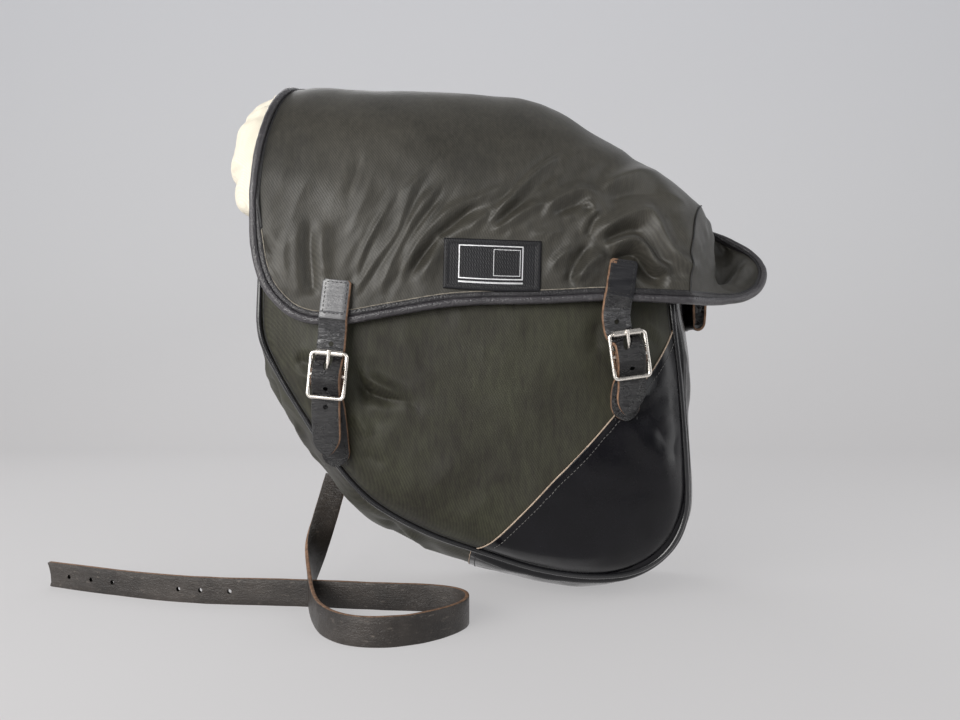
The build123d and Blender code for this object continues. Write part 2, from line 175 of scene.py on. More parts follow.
def to_polyline(x, z, pts):
    """Signed distance from points to a polyline, and the share along it."""
    seg = np.diff(pts, axis=0)
    ln = np.linalg.norm(seg, axis=1)
    start = lengths_along(pts)
    best = np.full(x.shape, 1e9)
    share = np.zeros(x.shape)
    side = np.ones(x.shape)
    for k in range(len(seg)):
        dx, dz = x - pts[k, 0], z - pts[k, 1]
        tc = np.clip((dx * seg[k, 0] + dz * seg[k, 1]) / ln[k] ** 2, 0, 1)
        d = np.hypot(dx - tc * seg[k, 0], dz - tc * seg[k, 1])
        near = d < best
        best = np.where(near, d, best)
        share = np.where(near, (start[k] + tc * ln[k]) / start[-1], share)
        turn = seg[k, 0] * dz - seg[k, 1] * dx
        side = np.where(near, np.where(turn >= 0, 1.0, -1.0), side)
    return best * side, share


def fold(x, z, pts, height, width, hollow=0.55, taper=(0.25, 0.25), lean=0.0):
    """A cloth fold: a ridge along a smooth line with a hollow on each side; lean > 0 makes its left side steeper."""
    d, s = to_polyline(x, z, curve_through(pts, 24))
    w = np.where(d > 0, width * (1 - lean), width * (1 + lean))
    ridge = 0.55 * np.exp(-np.abs(d / w) ** 1.25) + 0.45 * np.exp(-(d / w) ** 2)
    sides = np.exp(-((d - 2.1 * w) / (1.1 * w)) ** 2) + np.exp(-((d + 2.1 * w) / (1.1 * w)) ** 2)
    ends = smoothstep(0, taper[0], s) * smoothstep(0, taper[1], 1 - s)
    return height * (ridge - hollow * 0.5 * sides) * ends


def folds(x, z, rows):
    """The sum of several folds, each given as fold's line, height, width and so on."""
    return sum(fold(x, z, *row) for row in rows)


def frames_along(path, up):
    """The two directions across a path at each point; up is roughly the first (one, or one per point)."""
    t = unit(np.gradient(path, axis=0))
    up = np.broadcast_to(np.asarray(up, float), path.shape)
    a = unit(up - (up * t).sum(1, keepdims=True) * t)
    return a, np.cross(t, a)


def sweep_profile(name, path, a, b, profile, mats, body, mat_of=None, scale=None, close=False):
    """Sweeps a closed profile (rows of a, b offsets in mm) along a path with given across directions."""
    prof = np.asarray(profile, float)
    n, m = len(path), len(prof)
    s = np.ones(n) if scale is None else np.asarray(scale)
    v = path[:, None] + (a[:, None] * prof[None, :, :1] + b[:, None] * prof[None, :, 1:]) * s[:, None, None]
    faces = grid_faces(n, m, close_u=close, close_v=True)
    idx = [0 if mat_of is None else mat_of[j] for i in range(n if close else n - 1) for j in range(m)]
    if not close:
        faces += end_caps(n, m)
        idx += [0 if mat_of is None else max(mat_of)] * 2
    return new_object(name, v.reshape(-1, 3), faces, mats, body, mat_index=idx)


def trim(name, path, up, profile, material, body="bag", scale=None, close=False):
    """A cord or a cut edge that follows a path."""
    a, b = frames_along(path, up)
    return sweep_profile(name, path, a, b, profile, material, body, scale=scale, close=close)


def bar_profile(out, back, half):
    """A small rectangular section, for a cut edge of leather."""
    return [(out, -half), (out, half), (-back, half), (-back, -half)]


def ring_profile(r, n=10):
    t = np.linspace(0, 2 * np.pi, n, endpoint=False)
    return np.stack([r * np.cos(t), r * np.sin(t)], axis=1)


def strap_profile(width, thick, edge=0.5):
    """Rounded strap section, across and through, and the material of each side (1 = cut edge)."""
    w, h, e = width / 2, thick / 2, edge
    pts = [(-w + e, h), (-w * 0.5, h), (0, h), (w * 0.5, h), (w - e, h), (w - e * 0.3, h - e * 0.3), (w, h - e),
            (w, 0), (w, -h + e),
           (w - e * 0.3, -h + e * 0.3), (w - e, -h), (w * 0.5, -h), (0, -h), (-w * 0.5, -h), (-w + e, -h),
           (-w + e * 0.3, -h + e * 0.3), (-w, -h + e), (-w, 0), (-w, h - e), (-w + e * 0.3, h - e * 0.3)]
    pts = pts[::-1]
    return pts, [int(abs((p[0] + q[0]) / 2) > w - e * 0.5) for p, q in zip(pts, pts[1:] + pts[:1])]


# ------------------------------------------------------------------ materials
def mat(name):
    m = bpy.data.materials.new(name)
    m.use_nodes = True
    nt = m.node_tree
    nt.nodes.clear()
    out = nt.nodes.new("ShaderNodeOutputMaterial")
    bs = nt.nodes.new("ShaderNodeBsdfPrincipled")
    nt.links.new(bs.outputs[0], out.inputs[0])
    return m, nt, bs


def node(nt, kind, **kw):
    n = nt.nodes.new(kind)
    for k, v in kw.items():
        if k.startswith("i_"):
            key = k[2:]
            n.inputs[int(key) if key.isdigit() else key].default_value = v
        else:
            setattr(n, k, v)
    return n


def ramp(nt, src, stops):
    r = nt.nodes.new("ShaderNodeValToRGB")
    r.color_ramp.elements[0].position, r.color_ramp.elements[0].color = stops[0][0], (*stops[0][1], 1)
    r.color_ramp.elements[1].position, r.color_ramp.elements[1].color = stops[-1][0], (*stops[-1][1], 1)
    for pos, col in stops[1:-1]:
        e = r.color_ramp.elements.new(pos)
        e.color = (*col, 1)
    nt.links.new(src, r.inputs[0])
    return r.outputs[0]


def noise(nt, vec, scale, detail=3.0, rough=0.55, distortion=0.0):
    n = node(nt, "ShaderNodeTexNoise", i_Scale=scale, i_Detail=detail, i_Roughness=rough,
            i_Distortion=distortion)
    nt.links.new(vec, n.inputs["Vector"])
    return n.outputs["Fac"]


def mapping(nt, scale=(1, 1, 1), rot=(0, 0, 0)):
    tc = node(nt, "ShaderNodeTexCoord")
    mp = node(nt, "ShaderNodeMapping")
    mp.inputs["Scale"].default_value = scale
    mp.inputs["Rotation"].default_value = rot
    nt.links.new(tc.outputs["Object"], mp.inputs["Vector"])
    return mp.outputs[0]


def bump(nt, bs, height, strength, dist, prev=None):
    b = node(nt, "ShaderNodeBump", i_Strength=strength, i_Distance=dist)
    nt.links.new(height, b.inputs["Height"])
    if prev is not None:
        nt.links.new(prev, b.inputs["Normal"])
    nt.links.new(b.outputs[0], bs.inputs["Normal"])
    return b.outputs[0]


def math_node(nt, op, a, b):
    n = node(nt, "ShaderNodeMath", operation=op)
    for k, v in enumerate((a, b)):
        if isinstance(v, (int, float)):
            n.inputs[k].default_value = v
        else:
            nt.links.new(v, n.inputs[k])
    return n.outputs[0]


WAVE = 0.314                  # a wave texture's scale times its period in metres


def weighed(nt, a, share_a, b, share_b):
    return math_node(nt, "ADD", math_node(nt, "MULTIPLY", a, share_a), math_node(nt, "MULTIPLY", b, share_b))


def grey(value):
    return (value,) * 3


def cloth_material(name, dark, light, rough=0.5, sheen=0.25, rib=1.0e-3, spec=0.4, contrast=0.45, relief=0.25):
    """Woven cloth: slanted twill ribs of `rib` metres crossed by a weaker weft, over worn patches and slubs."""
    m, nt, bs = mat(name)
    vec = mapping(nt)
    big = noise(nt, vec, 14, 4, 0.6)
    slub = noise(nt, mapping(nt, scale=(1, 1, 0.22), rot=(0, math.radians(6), 0)), 300, 4, 0.7)
    shade = weighed(nt, big, 0.55, slub, 0.45)
    col = ramp(nt, shade, [(0.36, dark), (0.64, light)])
    tv = mapping(nt, rot=[math.radians(v) for v in (20, 38, -25)])
    ribs = []
    for direction, wobble in (("X", 1.2), ("Z", 0.8)):
        w = node(nt, "ShaderNodeTexWave", wave_type="BANDS", bands_direction=direction, wave_profile="SIN",
                 i_Scale=WAVE / rib, i_Distortion=wobble, i_Detail=1.0)
        w.inputs["Detail Scale"].default_value = 2.0
        nt.links.new(tv, w.inputs["Vector"])
        ribs.append(w.outputs["Fac"])
    mixed = weighed(nt, ribs[0], 0.7, ribs[1], 0.3)
    tone = node(nt, "ShaderNodeMix", data_type="RGBA", blend_type="MULTIPLY")
    tone.inputs["Factor"].default_value = contrast
    nt.links.new(col, tone.inputs[6])
    nt.links.new(ramp(nt, mixed, [(0.2, grey(0.55)), (0.8, grey(1.40))]), tone.inputs[7])
    nt.links.new(tone.outputs[2], bs.inputs["Base Color"])
    b1 = bump(nt, bs, mixed, relief, 0.0003)
    bump(nt, bs, noise(nt, vec, 900, 2, 0.5), 0.12, 0.0002, b1)
    r = ramp(nt, noise(nt, vec, 40, 3), [(0.3, grey(rough - 0.05)), (0.7, grey(rough + 0.07))])
    nt.links.new(r, bs.inputs["Roughness"])
    bs.inputs["Sheen Weight"].default_value = sheen
    bs.inputs["Sheen Roughness"].default_value = 0.4
    bs.inputs["Specular IOR Level"].default_value = spec
    return m


def leather_material(name, dark, light, rough=0.34, grain=700, grain_bump=0.25, crease=0.0, wear=None, coat=0.0,
        spec=0.5):
    m, nt, bs = mat(name)
    vec = mapping(nt)
    big = noise(nt, vec, 22, 5, 0.62)
    col = ramp(nt, big, [(0.3, dark), (0.72, light)])
    v = node(nt, "ShaderNodeTexVoronoi", feature="DISTANCE_TO_EDGE", i_Scale=grain)
    nt.links.new(vec, v.inputs["Vector"])
    cells = ramp(nt, v.outputs["Distance"], [(0.0, grey(0)), (0.28, grey(1))])
    n2 = noise(nt, vec, grain * 0.35, 4, 0.65)
    h = weighed(nt, cells, 0.5, n2, 0.8)
    b1 = bump(nt, bs, h, grain_bump, 0.0003)
    b1 = bump(nt, bs, noise(nt, vec, 34, 3, 0.5), 0.25, 0.0012, b1)
    if crease:
        cv = mapping(nt, scale=(1.0, 1.0, 5.0))
        cr = noise(nt, cv, 95, 5, 0.7, 1.2)
        cr = ramp(nt, cr, [(0.42, grey(0)), (0.55, grey(1))])
        b1 = bump(nt, bs, cr, crease, 0.0006, b1)
    if wear is not None:
        scratch = noise(nt, mapping(nt, scale=(1, 1, 3)), 130, 6, 0.75)
        mask = ramp(nt, scratch, [(0.58, grey(0)), (0.72, grey(1))])
        mx = node(nt, "ShaderNodeMix", data_type="RGBA")
        nt.links.new(mask, mx.inputs["Factor"])
        nt.links.new(col, mx.inputs[6])
        mx.inputs[7].default_value = (*wear, 1)
        col = mx.outputs[2]
    nt.links.new(col, bs.inputs["Base Color"])
    r = ramp(nt, noise(nt, vec, 60, 4, 0.6), [(0.3, grey(rough - 0.08)), (0.75, grey(rough + 0.12))])
    nt.links.new(r, bs.inputs["Roughness"])
    bs.inputs["Specular IOR Level"].default_value = spec
    bs.inputs["Coat Weight"].default_value = coat
    bs.inputs["Coat Roughness"].default_value = 0.25
    return m


def raw_edge_material(name, dark, light, rough=0.8):
    m, nt, bs = mat(name)
    vec = mapping(nt)
    n1 = noise(nt, vec, 260, 5, 0.7)
    nt.links.new(ramp(nt, n1, [(0.3, dark), (0.65, light)]), bs.inputs["Base Color"])
    bs.inputs["Roughness"].default_value = rough
    bump(nt, bs, n1, 0.5, 0.0004)
    return m


def metal_material(name, color, rough=0.2):
    m, nt, bs = mat(name)
    vec = mapping(nt)
    n1 = noise(nt, vec, 120, 5, 0.65)
    nt.links.new(ramp(nt, n1, [(0.30, tuple(c * 0.86 for c in color)), (0.62, color)]), bs.inputs["Base Color"])
    r = ramp(nt, noise(nt, vec, 300, 4, 0.6), [(0.3, grey(rough - 0.04)), (0.75, grey(rough + 0.08))])
    nt.links.new(r, bs.inputs["Roughness"])
    bs.inputs["Metallic"].default_value = 1.0
    bump(nt, bs, noise(nt, vec, 260, 3, 0.6), 0.03, 0.0002)
    return m


M_FLAP = cloth_material("flap_cloth", (0.0255, 0.0238, 0.019), (0.053, 0.049, 0.0392), rough=0.46, sheen=0.08,
        rib=1.4e-3, spec=0.42, contrast=0.42, relief=0.22)
M_FLAPIN = cloth_material("flap_lining", (0.030, 0.030, 0.026), (0.045, 0.044, 0.038), rough=0.6, sheen=0.1,
        spec=0.3)
M_RAWLINE = raw_edge_material("raw_line", (0.10, 0.09, 0.075), (0.30, 0.27, 0.22))
M_BODY = cloth_material("body_cloth", (0.020, 0.0175, 0.0130), (0.044, 0.0445, 0.0275), rough=0.54, sheen=0.05,
        rib=1.3e-3, spec=0.28, contrast=0.45)
M_BLACK = leather_material("black_leather", (0.0011, 0.0009, 0.0019), (0.0040, 0.0036, 0.0058), rough=0.24,
        grain=900, grain_bump=0.05, spec=0.30)
M_BIND = leather_material("binding_leather", (0.022, 0.020, 0.023), (0.055, 0.051, 0.056), rough=0.33,
        grain=480, grain_bump=1.0, wear=(0.17, 0.16, 0.168), spec=0.7)
M_BINDSTRIP = leather_material("binding_strip", (0.008, 0.0075, 0.009), (0.024, 0.022, 0.025), rough=0.36,
        grain=480, grain_bump=0.8, wear=(0.07, 0.066, 0.07), spec=0.55)
M_STRAP = leather_material("strap_leather", (0.006, 0.006, 0.007), (0.016, 0.015, 0.016), rough=0.28, grain=560,
        grain_bump=0.22, crease=0.5)
# painted highlight: the left tab's colour is lightened to stand for the broad reflection it catches
M_TAB_PAINTED_HIGHLIGHT = leather_material("tab_leather", (0.055, 0.056, 0.060), (0.12, 0.12, 0.126), rough=0.27, grain=520,
        grain_bump=0.12, crease=0.15, coat=0.35, spec=0.7)
M_WORN = leather_material("worn_leather", (0.026, 0.026, 0.028), (0.088, 0.088, 0.092), rough=0.30, grain=480,
        grain_bump=0.45, crease=1.2, wear=(0.28, 0.28, 0.285), spec=0.6, coat=0.15)
M_CARRIER = leather_material("carrier_leather", (0.013, 0.0108, 0.0096), (0.058, 0.049, 0.043), rough=0.42,
        grain=420, grain_bump=0.6, crease=0.3, wear=(0.135, 0.115, 0.10), spec=0.4)
M_EDGE = raw_edge_material("cut_edge", (0.09, 0.046, 0.026), (0.27, 0.155, 0.092))
M_TAN = raw_edge_material("raw_edge", (0.34, 0.25, 0.18), (0.58, 0.46, 0.36))
M_THREAD = raw_edge_material("thread", (0.008, 0.008, 0.008), (0.03, 0.03, 0.03), rough=0.6)
M_LINER = cloth_material("liner_cloth", (0.72, 0.665, 0.545), (0.80, 0.75, 0.64), rough=0.8, sheen=0.1,
        rib=0.9e-3, spec=0.2, contrast=0.14, relief=0.15)
M_METAL = metal_material("nickel", (0.93, 0.88, 0.81), 0.26)
M_SILVER = metal_material("silver_rule", (0.86, 0.86, 0.88), 0.42)
M_BOARD = raw_edge_material("fibre_board", (0.20, 0.13, 0.08), (0.32, 0.22, 0.14))
M_PIPE = leather_material("piping_leather", (0.007, 0.007, 0.008), (0.016, 0.016, 0.018), rough=0.16, grain=900,
        grain_bump=0.06, coat=0.3)
M_THREADG = raw_edge_material("grey_thread", (0.05, 0.048, 0.046), (0.14, 0.135, 0.13), rough=0.6)
# painted shade: a darker copy of the tab leather for the right tab, standing for the shade it lies in
M_TAB_PAINTED_SHADE = leather_material("tab_leather_dark", (0.008, 0.008, 0.010), (0.018, 0.018, 0.021), rough=0.46,
        grain=560, grain_bump=0.2, crease=0.2, spec=0.3)
M_LABEL = cloth_material("label_cloth", (0.0045, 0.0045, 0.0058), (0.011, 0.011, 0.0135), rough=0.42,
        sheen=0.03, rib=1.2e-3, spec=0.32, contrast=0.7, relief=0.5)
M_HOLE = raw_edge_material("hole_dark", (0.004, 0.004, 0.004), (0.01, 0.01, 0.01))

# ------------------------------------------------------------------ camera, light and ground
cam_data = bpy.data.cameras.new("camera")
cam_data.lens = 33.0
cam_data.sensor_width = 36.0
cam_data.clip_end = 20
camera = bpy.data.objects.new("camera", cam_data)
camera.location = frame_m(EYE)
camera.rotation_euler = (math.radians(90 - 0.65), 0, 0)
bpy.context.collection.objects.link(camera)
bpy.context.scene.camera = camera
bpy.context.scene.view_settings.view_transform = "Standard"


def backdrop():
    """A seamless ground that turns up into a wall behind the object."""
    turn = np.linspace(0, np.pi / 2, 24)[1:]
    y = np.concatenate([[-1400, 500, 900], 900 + 500 * np.sin(turn), [1400]])
    z = np.concatenate([[0, 0, 0], 500 - 500 * np.cos(turn), [2600]])
    x = np.linspace(-2600, 2600, 3)
    p = np.stack(np.broadcast_arrays(x[:, None], y[None], z[None]), axis=2)
    m, nt, bs = mat("backdrop")
    out = [n for n in nt.nodes if n.type == "OUTPUT_MATERIAL"][0]
    geo = node(nt, "ShaderNodeNewGeometry")
    sep = node(nt, "ShaderNodeSeparateXYZ")
    nt.links.new(geo.outputs["Position"], sep.inputs[0])
    hgt = node(nt, "ShaderNodeMapRange", i_1=-0.15, i_2=0.9)
    nt.links.new(sep.outputs["Z"], hgt.inputs[0])
    col = ramp(nt, hgt.outputs[0], [(0.0, (0.655, 0.645, 0.650)), (0.35, (0.672, 0.670, 0.682)),
            (1.0, (0.680, 0.683, 0.708))])
    nt.links.new(col, bs.inputs["Base Color"])
    bs.inputs["Roughness"].default_value = 0.9
    bs.inputs["Specular IOR Level"].default_value = 0.1
    emit = node(nt, "ShaderNodeEmission", i_Strength=1.0)
    nt.links.new(col, emit.inputs[0])
    lp = node(nt, "ShaderNodeLightPath")
    mix = node(nt, "ShaderNodeMixShader")
    straight = math_node(nt, "MAXIMUM", lp.outputs["Is Camera Ray"], lp.outputs["Is Transmission Ray"])
    direct = math_node(nt, "MULTIPLY", straight, 0.6)
    # gloss sees the bright table near the object, and the dim room in front of it
    near = node(nt, "ShaderNodeMapRange", i_1=-0.62, i_2=-0.30)
    nt.links.new(sep.outputs["Y"], near.inputs[0])
    share = math_node(nt, "MAXIMUM", direct, math_node(nt, "MULTIPLY", lp.outputs["Is Glossy Ray"],
            near.outputs[0]))
    nt.links.new(share, mix.inputs[0])
    nt.links.new(bs.outputs[0], mix.inputs[1])
    nt.links.new(emit.outputs[0], mix.inputs[2])
    nt.links.new(mix.outputs[0], out.inputs[0])
    new_object("ground", p.reshape(-1, 3), grid_faces(3, len(y)), m, None)


backdrop()


def area(name, loc, target, size, power, color=(1, 1, 1)):
    d = bpy.data.lights.new(name, "AREA")
    d.shape = "RECTANGLE"
    d.size, d.size_y = size
    d.energy = power
    d.color = color
    o = bpy.data.objects.new(name, d)
    o.location = loc
    o.rotation_euler = (Vector(target) - Vector(loc)).to_track_quat("-Z", "Y").to_euler()
    bpy.context.collection.objects.link(o)


area("key", (-0.86, -1.30, 0.42), (0, -0.08, 0.06), (1.25, 0.8), 22.5, (1.0, 0.985, 0.96))
area("fill", (1.05, -1.0, 0.75), (0, -0.08, 0.0), (0.8, 1.0), 4.6, (0.97, 0.985, 1.0))
area("top", (0.1, 0.1, 1.5), (0, -0.05, 0.0), (1.4, 0.9), 1.5)
area("back", (-0.45, 0.72, 0.8), (0, 0, 0.05), (0.9, 0.7), 3.0)
area("left", (-1.35, -0.35, 0.35), (0, -0.08, 0.05), (0.5, 1.0), 4.4)
area("side", (1.3, -0.1, 0.35), (0, -0.08, 0.0), (0.5, 1.2), 3.2)
world = bpy.data.worlds.new("world")
bpy.context.scene.world = world
world.use_nodes = True
sky = world.node_tree.nodes["Background"].inputs
sky[0].default_value = (0.80, 0.81, 0.84, 1)
sky[1].default_value = 0.24


# ------------------------------------------------------------------ carrier strap
def cut(ob, cutters):
    """Takes the cutters out of a piece."""
    for c in cutters:
        mod = ob.modifiers.new("cut", "BOOLEAN")
        mod.operation = "DIFFERENCE"
        mod.solver = "EXACT"
        mod.object = c
        bpy.context.view_layer.update()
        dg = bpy.context.evaluated_depsgraph_get()
        me = bpy.data.meshes.new_from_object(ob.evaluated_get(dg))
        ob.modifiers.clear()
        old = ob.data
        ob.data = me
        bpy.data.meshes.remove(old)
    for c in cutters:
        m = c.data
        bpy.data.objects.remove(c)
        bpy.data.meshes.remove(m)
    ob.data.polygons.foreach_set("use_smooth", [True] * len(ob.data.polygons))


def rod(centre, axis, r, length, n=20, flat=(1, 1)):
    """A round or oval cutter."""
    a = unit(np.asarray(axis, float))
    u = unit(np.cross(a, (0.3, 0.2, 0.9)))
    w = np.cross(a, u)
    t = np.linspace(0, 2 * np.pi, n, endpoint=False)
    ring = np.cos(t)[:, None] * u * r * flat[0] + np.sin(t)[:, None] * w * r * flat[1]
    v = np.vstack([centre - a * length / 2 + ring, centre + a * length / 2 + ring])
    f = [(i, (i + 1) % n, n + (i + 1) % n, n + i) for i in range(n)]
    return new_object("cutter", v, f + end_caps(2, n), M_HOLE, None)


ROUTE = [
    (-122, -10, 83), (-128, -27, 54), (-131, -62, 32), (-128, -104, 17), (-118, -144, 10), (-104, -180, 10),
    (-82, -200, 10),
    (-52, -200, 10), (-26, -184, 10), (-8, -160, 10), (-10, -136, 10), (-32, -122, 10), (-72, -119, 10),
    (-139, -108, 10),
    (-215, -103, 10), (-290, -78, 10), (-345, -54, 10),
]
HOLES_X = (-187, -209, -227.5, -284, -305, -325)      # punched holes near the free end, mm
TAIL_Y = -109                                         # the free end lies behind this


def nurbs_line(name, route):
    cu = bpy.data.curves.new(name, "CURVE")
    cu.dimensions = "3D"
    sp = cu.splines.new("NURBS")
    sp.points.add(len(route) - 1)
    for p, r in zip(sp.points, frame_m(route)):
        p.co = (*r, 1)
    sp.order_u = 3
    sp.use_endpoint_u = True
    sp.resolution_u = 24
    ob = bpy.data.objects.new(name, cu)
    bpy.context.collection.objects.link(ob)
    bpy.context.view_layer.update()
    me = bpy.data.meshes.new_from_object(ob)
    pts = np.array([v.co[:] for v in me.vertices])
    bpy.data.objects.remove(ob)
    bpy.data.meshes.remove(me)
    return pts


def carrier_strap():
    line = nurbs_line("carrier_line", ROUTE) * 1000.0
    line[:, 2] += GROUND
    n = 420
    path = evenly(line, n)
    s = np.linspace(0, 1, n)
    # it leaves the bag flat against it, and turns onto its edge
    turn = np.radians(90) * smoothstep(0.0, 0.205, s)
    a, b = frames_along(path, np.stack([-np.cos(turn), 0 * turn, np.sin(turn)], axis=1))
    prof, idx = strap_profile(STRAP, 3.0, 0.7)
    wob = 1 + 0.012 * hash_noise(s * 60, s * 0, 1.0, 3)
    ob = sweep_profile("carrier_leather", path, a, b, prof, [M_CARRIER, M_EDGE], "bag", idx,
            scale=wob)
    # the free end is torn
    last = (n - 1) * len(prof)
    for j, (x, _) in enumerate(prof):
        ob.data.vertices[last + j].co.x += 0.0024 * math.sin(x * 1.1 + 0.6) * (0.6 + 0.4 * math.sin(x * 3.7))
    tail = (path[:, 1] > TAIL_Y) & (s > 0.6)
    at = [int(np.argmin(np.abs(path[:, 0] - x) + np.where(tail, 0, 1e3))) for x in HOLES_X]
    cut(ob, [rod(path[k], b[k], 1.7, 9) for k in at])
    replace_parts(ob, "carrier_strap")
    tuple(frame_m(ROUTE[0]))
    [tuple(p) for p in frame_m(path)]


carrier_strap()


# ------------------------------------------------------------------ shared shapes
def seen(p):
    """Where a point appears on the plane of the flap's front, looked at from straight ahead."""
    k = (FRONT - EYE[1]) / (p[..., 1] - EYE[1])
    return p[..., 0] * k, EYE[2] + (p[..., 2] - EYE[2]) * k


def strip_grid(name, p, mats, body, thick, inner=None):
    """A thin closed shell: p is the outer face as a grid of points, the inner face lies `thick` behind it."""
    nu, nv = p.shape[:2]
    q = p - unit(blur(grid_normals(p), 2)) * thick if inner is None else inner
    v = np.concatenate([p.reshape(-1, 3), q.reshape(-1, 3)])
    m = nu * nv
    f = grid_faces(nu, nv)
    idx = [0] * len(f)
    back = [tuple(k + m for k in r[::-1]) for r in f]
    f += back
    idx += [1 if len(mats) > 1 else 0] * len(back)
    rim = [i * nv for i in range(nu)] + [(nu - 1) * nv + j for j in range(1, nv)]
    rim += [i * nv + nv - 1 for i in range(nu - 2, -1, -1)] + [j for j in range(nv - 2, 0, -1)]
    for a, b in zip(rim, rim[1:] + rim[:1]):
        f.append((b, a, a + m, b + m))
        idx.append(0)
    return new_object(name, v, f, mats, body, mat_index=idx)


def stitches(name, path, up, body, pitch=3.4, length=2.3, r=0.34, material=None):
    """A row of separate raised stitches along a path that lies on a surface with normals `up`."""
    path = np.asarray(path, float)
    at = lengths_along(path)
    up = np.broadcast_to(np.asarray(up, float), path.shape)
    count = max(1, int(at[-1] / pitch))
    verts, faces = [], []
    ring = np.linspace(0, 2 * np.pi, 6, endpoint=False)[None, :, None]
    radius = (r * np.array([0.35, 0.9, 1.0, 0.9, 0.35]))[:, None, None]
    rise = (np.array([-0.25, 0.1, 0.2, 0.1, -0.25]) * r + 0.05)[:, None]
    for k in range(count):
        us = (k + 0.5) * at[-1] / count + np.array([-0.5, -0.3, 0.0, 0.3, 0.5]) * length
        pts, n = (np.stack([np.interp(us, at, column) for column in v.T], axis=1) for v in (path, up))
        a, b = frames_along(pts, n)
        v = pts[:, None] + (np.cos(ring) * b[:, None] + np.sin(ring) * a[:, None]) * radius + (a * rise)[:,
                None]
        verts.append(v.reshape(-1, 3))
        faces += [tuple(k * 30 + i for i in f) for f in grid_faces(5, 6, close_v=True) + end_caps(5, 6)]
    return new_object(name, np.vstack(verts), faces, material or M_THREAD, body)


# ------------------------------------------------------------------ flap
# x at the front, x over the crest, x at the hinge, crest z, knee z, hem z
FLAP = np.array([
    (-157.5, -137.0, -133.0, 389.5, 300, 284), (-157.0, -136.5, -132.5, 389.8, 292, 269),
    (-154.6, -135.0, -131.5, 390.2, 284, 252),
    (-149.5, -132.0, -129.0, 390.8, 279, 236.5), (-141.0, -127.0, -124.5, 391.4, 275, 225),
    (-131.5, -121.5, -119.0, 391.8, 272, 216.8),
    (-119.0, -112.5, -110.5, 391.6, 270, 212.2), (-103.0, -99.5, -98.0, 390.4, 270, 211.4),
    (-62.0, -60.5, -59.5, 389.2, 270, 217.5),
    (-21.0, -21.0, -21.0, 388.2, 270, 224), (8.0, 8.0, 8.0, 385.6, 270, 225.6),
    (34.0, 34.5, 35.0, 382.4, 270, 226), (62.0, 64.0, 66.0, 371.0, 270, 227),
    (80.0, 83.0, 85.0, 359.0, 268, 228), (98.0, 104.0, 107.0, 347.0, 264, 228),
    (112.0, 121.0, 125.0, 337.5, 260, 227.5), (124.0, 138.0, 142.0, 327.5, 255, 227),
    (136.0, 155.0, 160.0, 316.0, 248, 226.4), (147.0, 171.5, 176.0, 300.6, 240, 226)])
COLS, ROWS = 250, 250
LABEL_X, LABEL_Z = 8.5, 249.6     # middle of the label
LABEL_W, LABEL_H = 34, 17.4       # half its width and height
# shares of the way to the front, of the rise to the crest, and of the drop to the knee
SHARES = np.array([(0.0, 0.0, 0.0), (0.02, 0.45, 0.0), (0.125, 0.82, 0.0), (0.29, 0.975, 0.0), (0.50, 1.0, 0.0),
                       (0.705, 1.0, 0.08), (0.875, 1.0, 0.30), (0.972, 1.0, 0.65), (1.0, 1.0, 1.0)])


def flap_column(st):
    xf, xc, xb, crest, knee, hem = st
    y = HINGE[0] + (FRONT - HINGE[0]) * SHARES[:, 0]
    z = HINGE[1] + (crest - HINGE[1]) * SHARES[:, 1] - (crest - knee) * SHARES[:, 2]
    wl = smoothstep(-90, -145, xf)
    bend = [xf + (near + more * wl) * (xc - xf) for near, more in ((0.30, 0.20), (0.16, 0.12), (0.07, 0.08))]
    x = np.interp(SHARES[:, 0], [0, 0.55, 0.86, 0.93, 0.972, 1.0], [xb, xc, *bend, xf])
    pts = list(zip(x, y, z))
    for k in (0.35, 0.7, 1.0):
        pts.append((xf, FRONT, knee + (hem - knee) * k))
    return curve_through(pts, ROWS)


def flap_grid():
    key = lengths_along(FLAP[:, [0, 5]])
    cols = smooth_interp(np.linspace(0, key[-1], COLS), key, FLAP)
    g = np.stack([flap_column(c) for c in cols])
    return blur(g, 3)


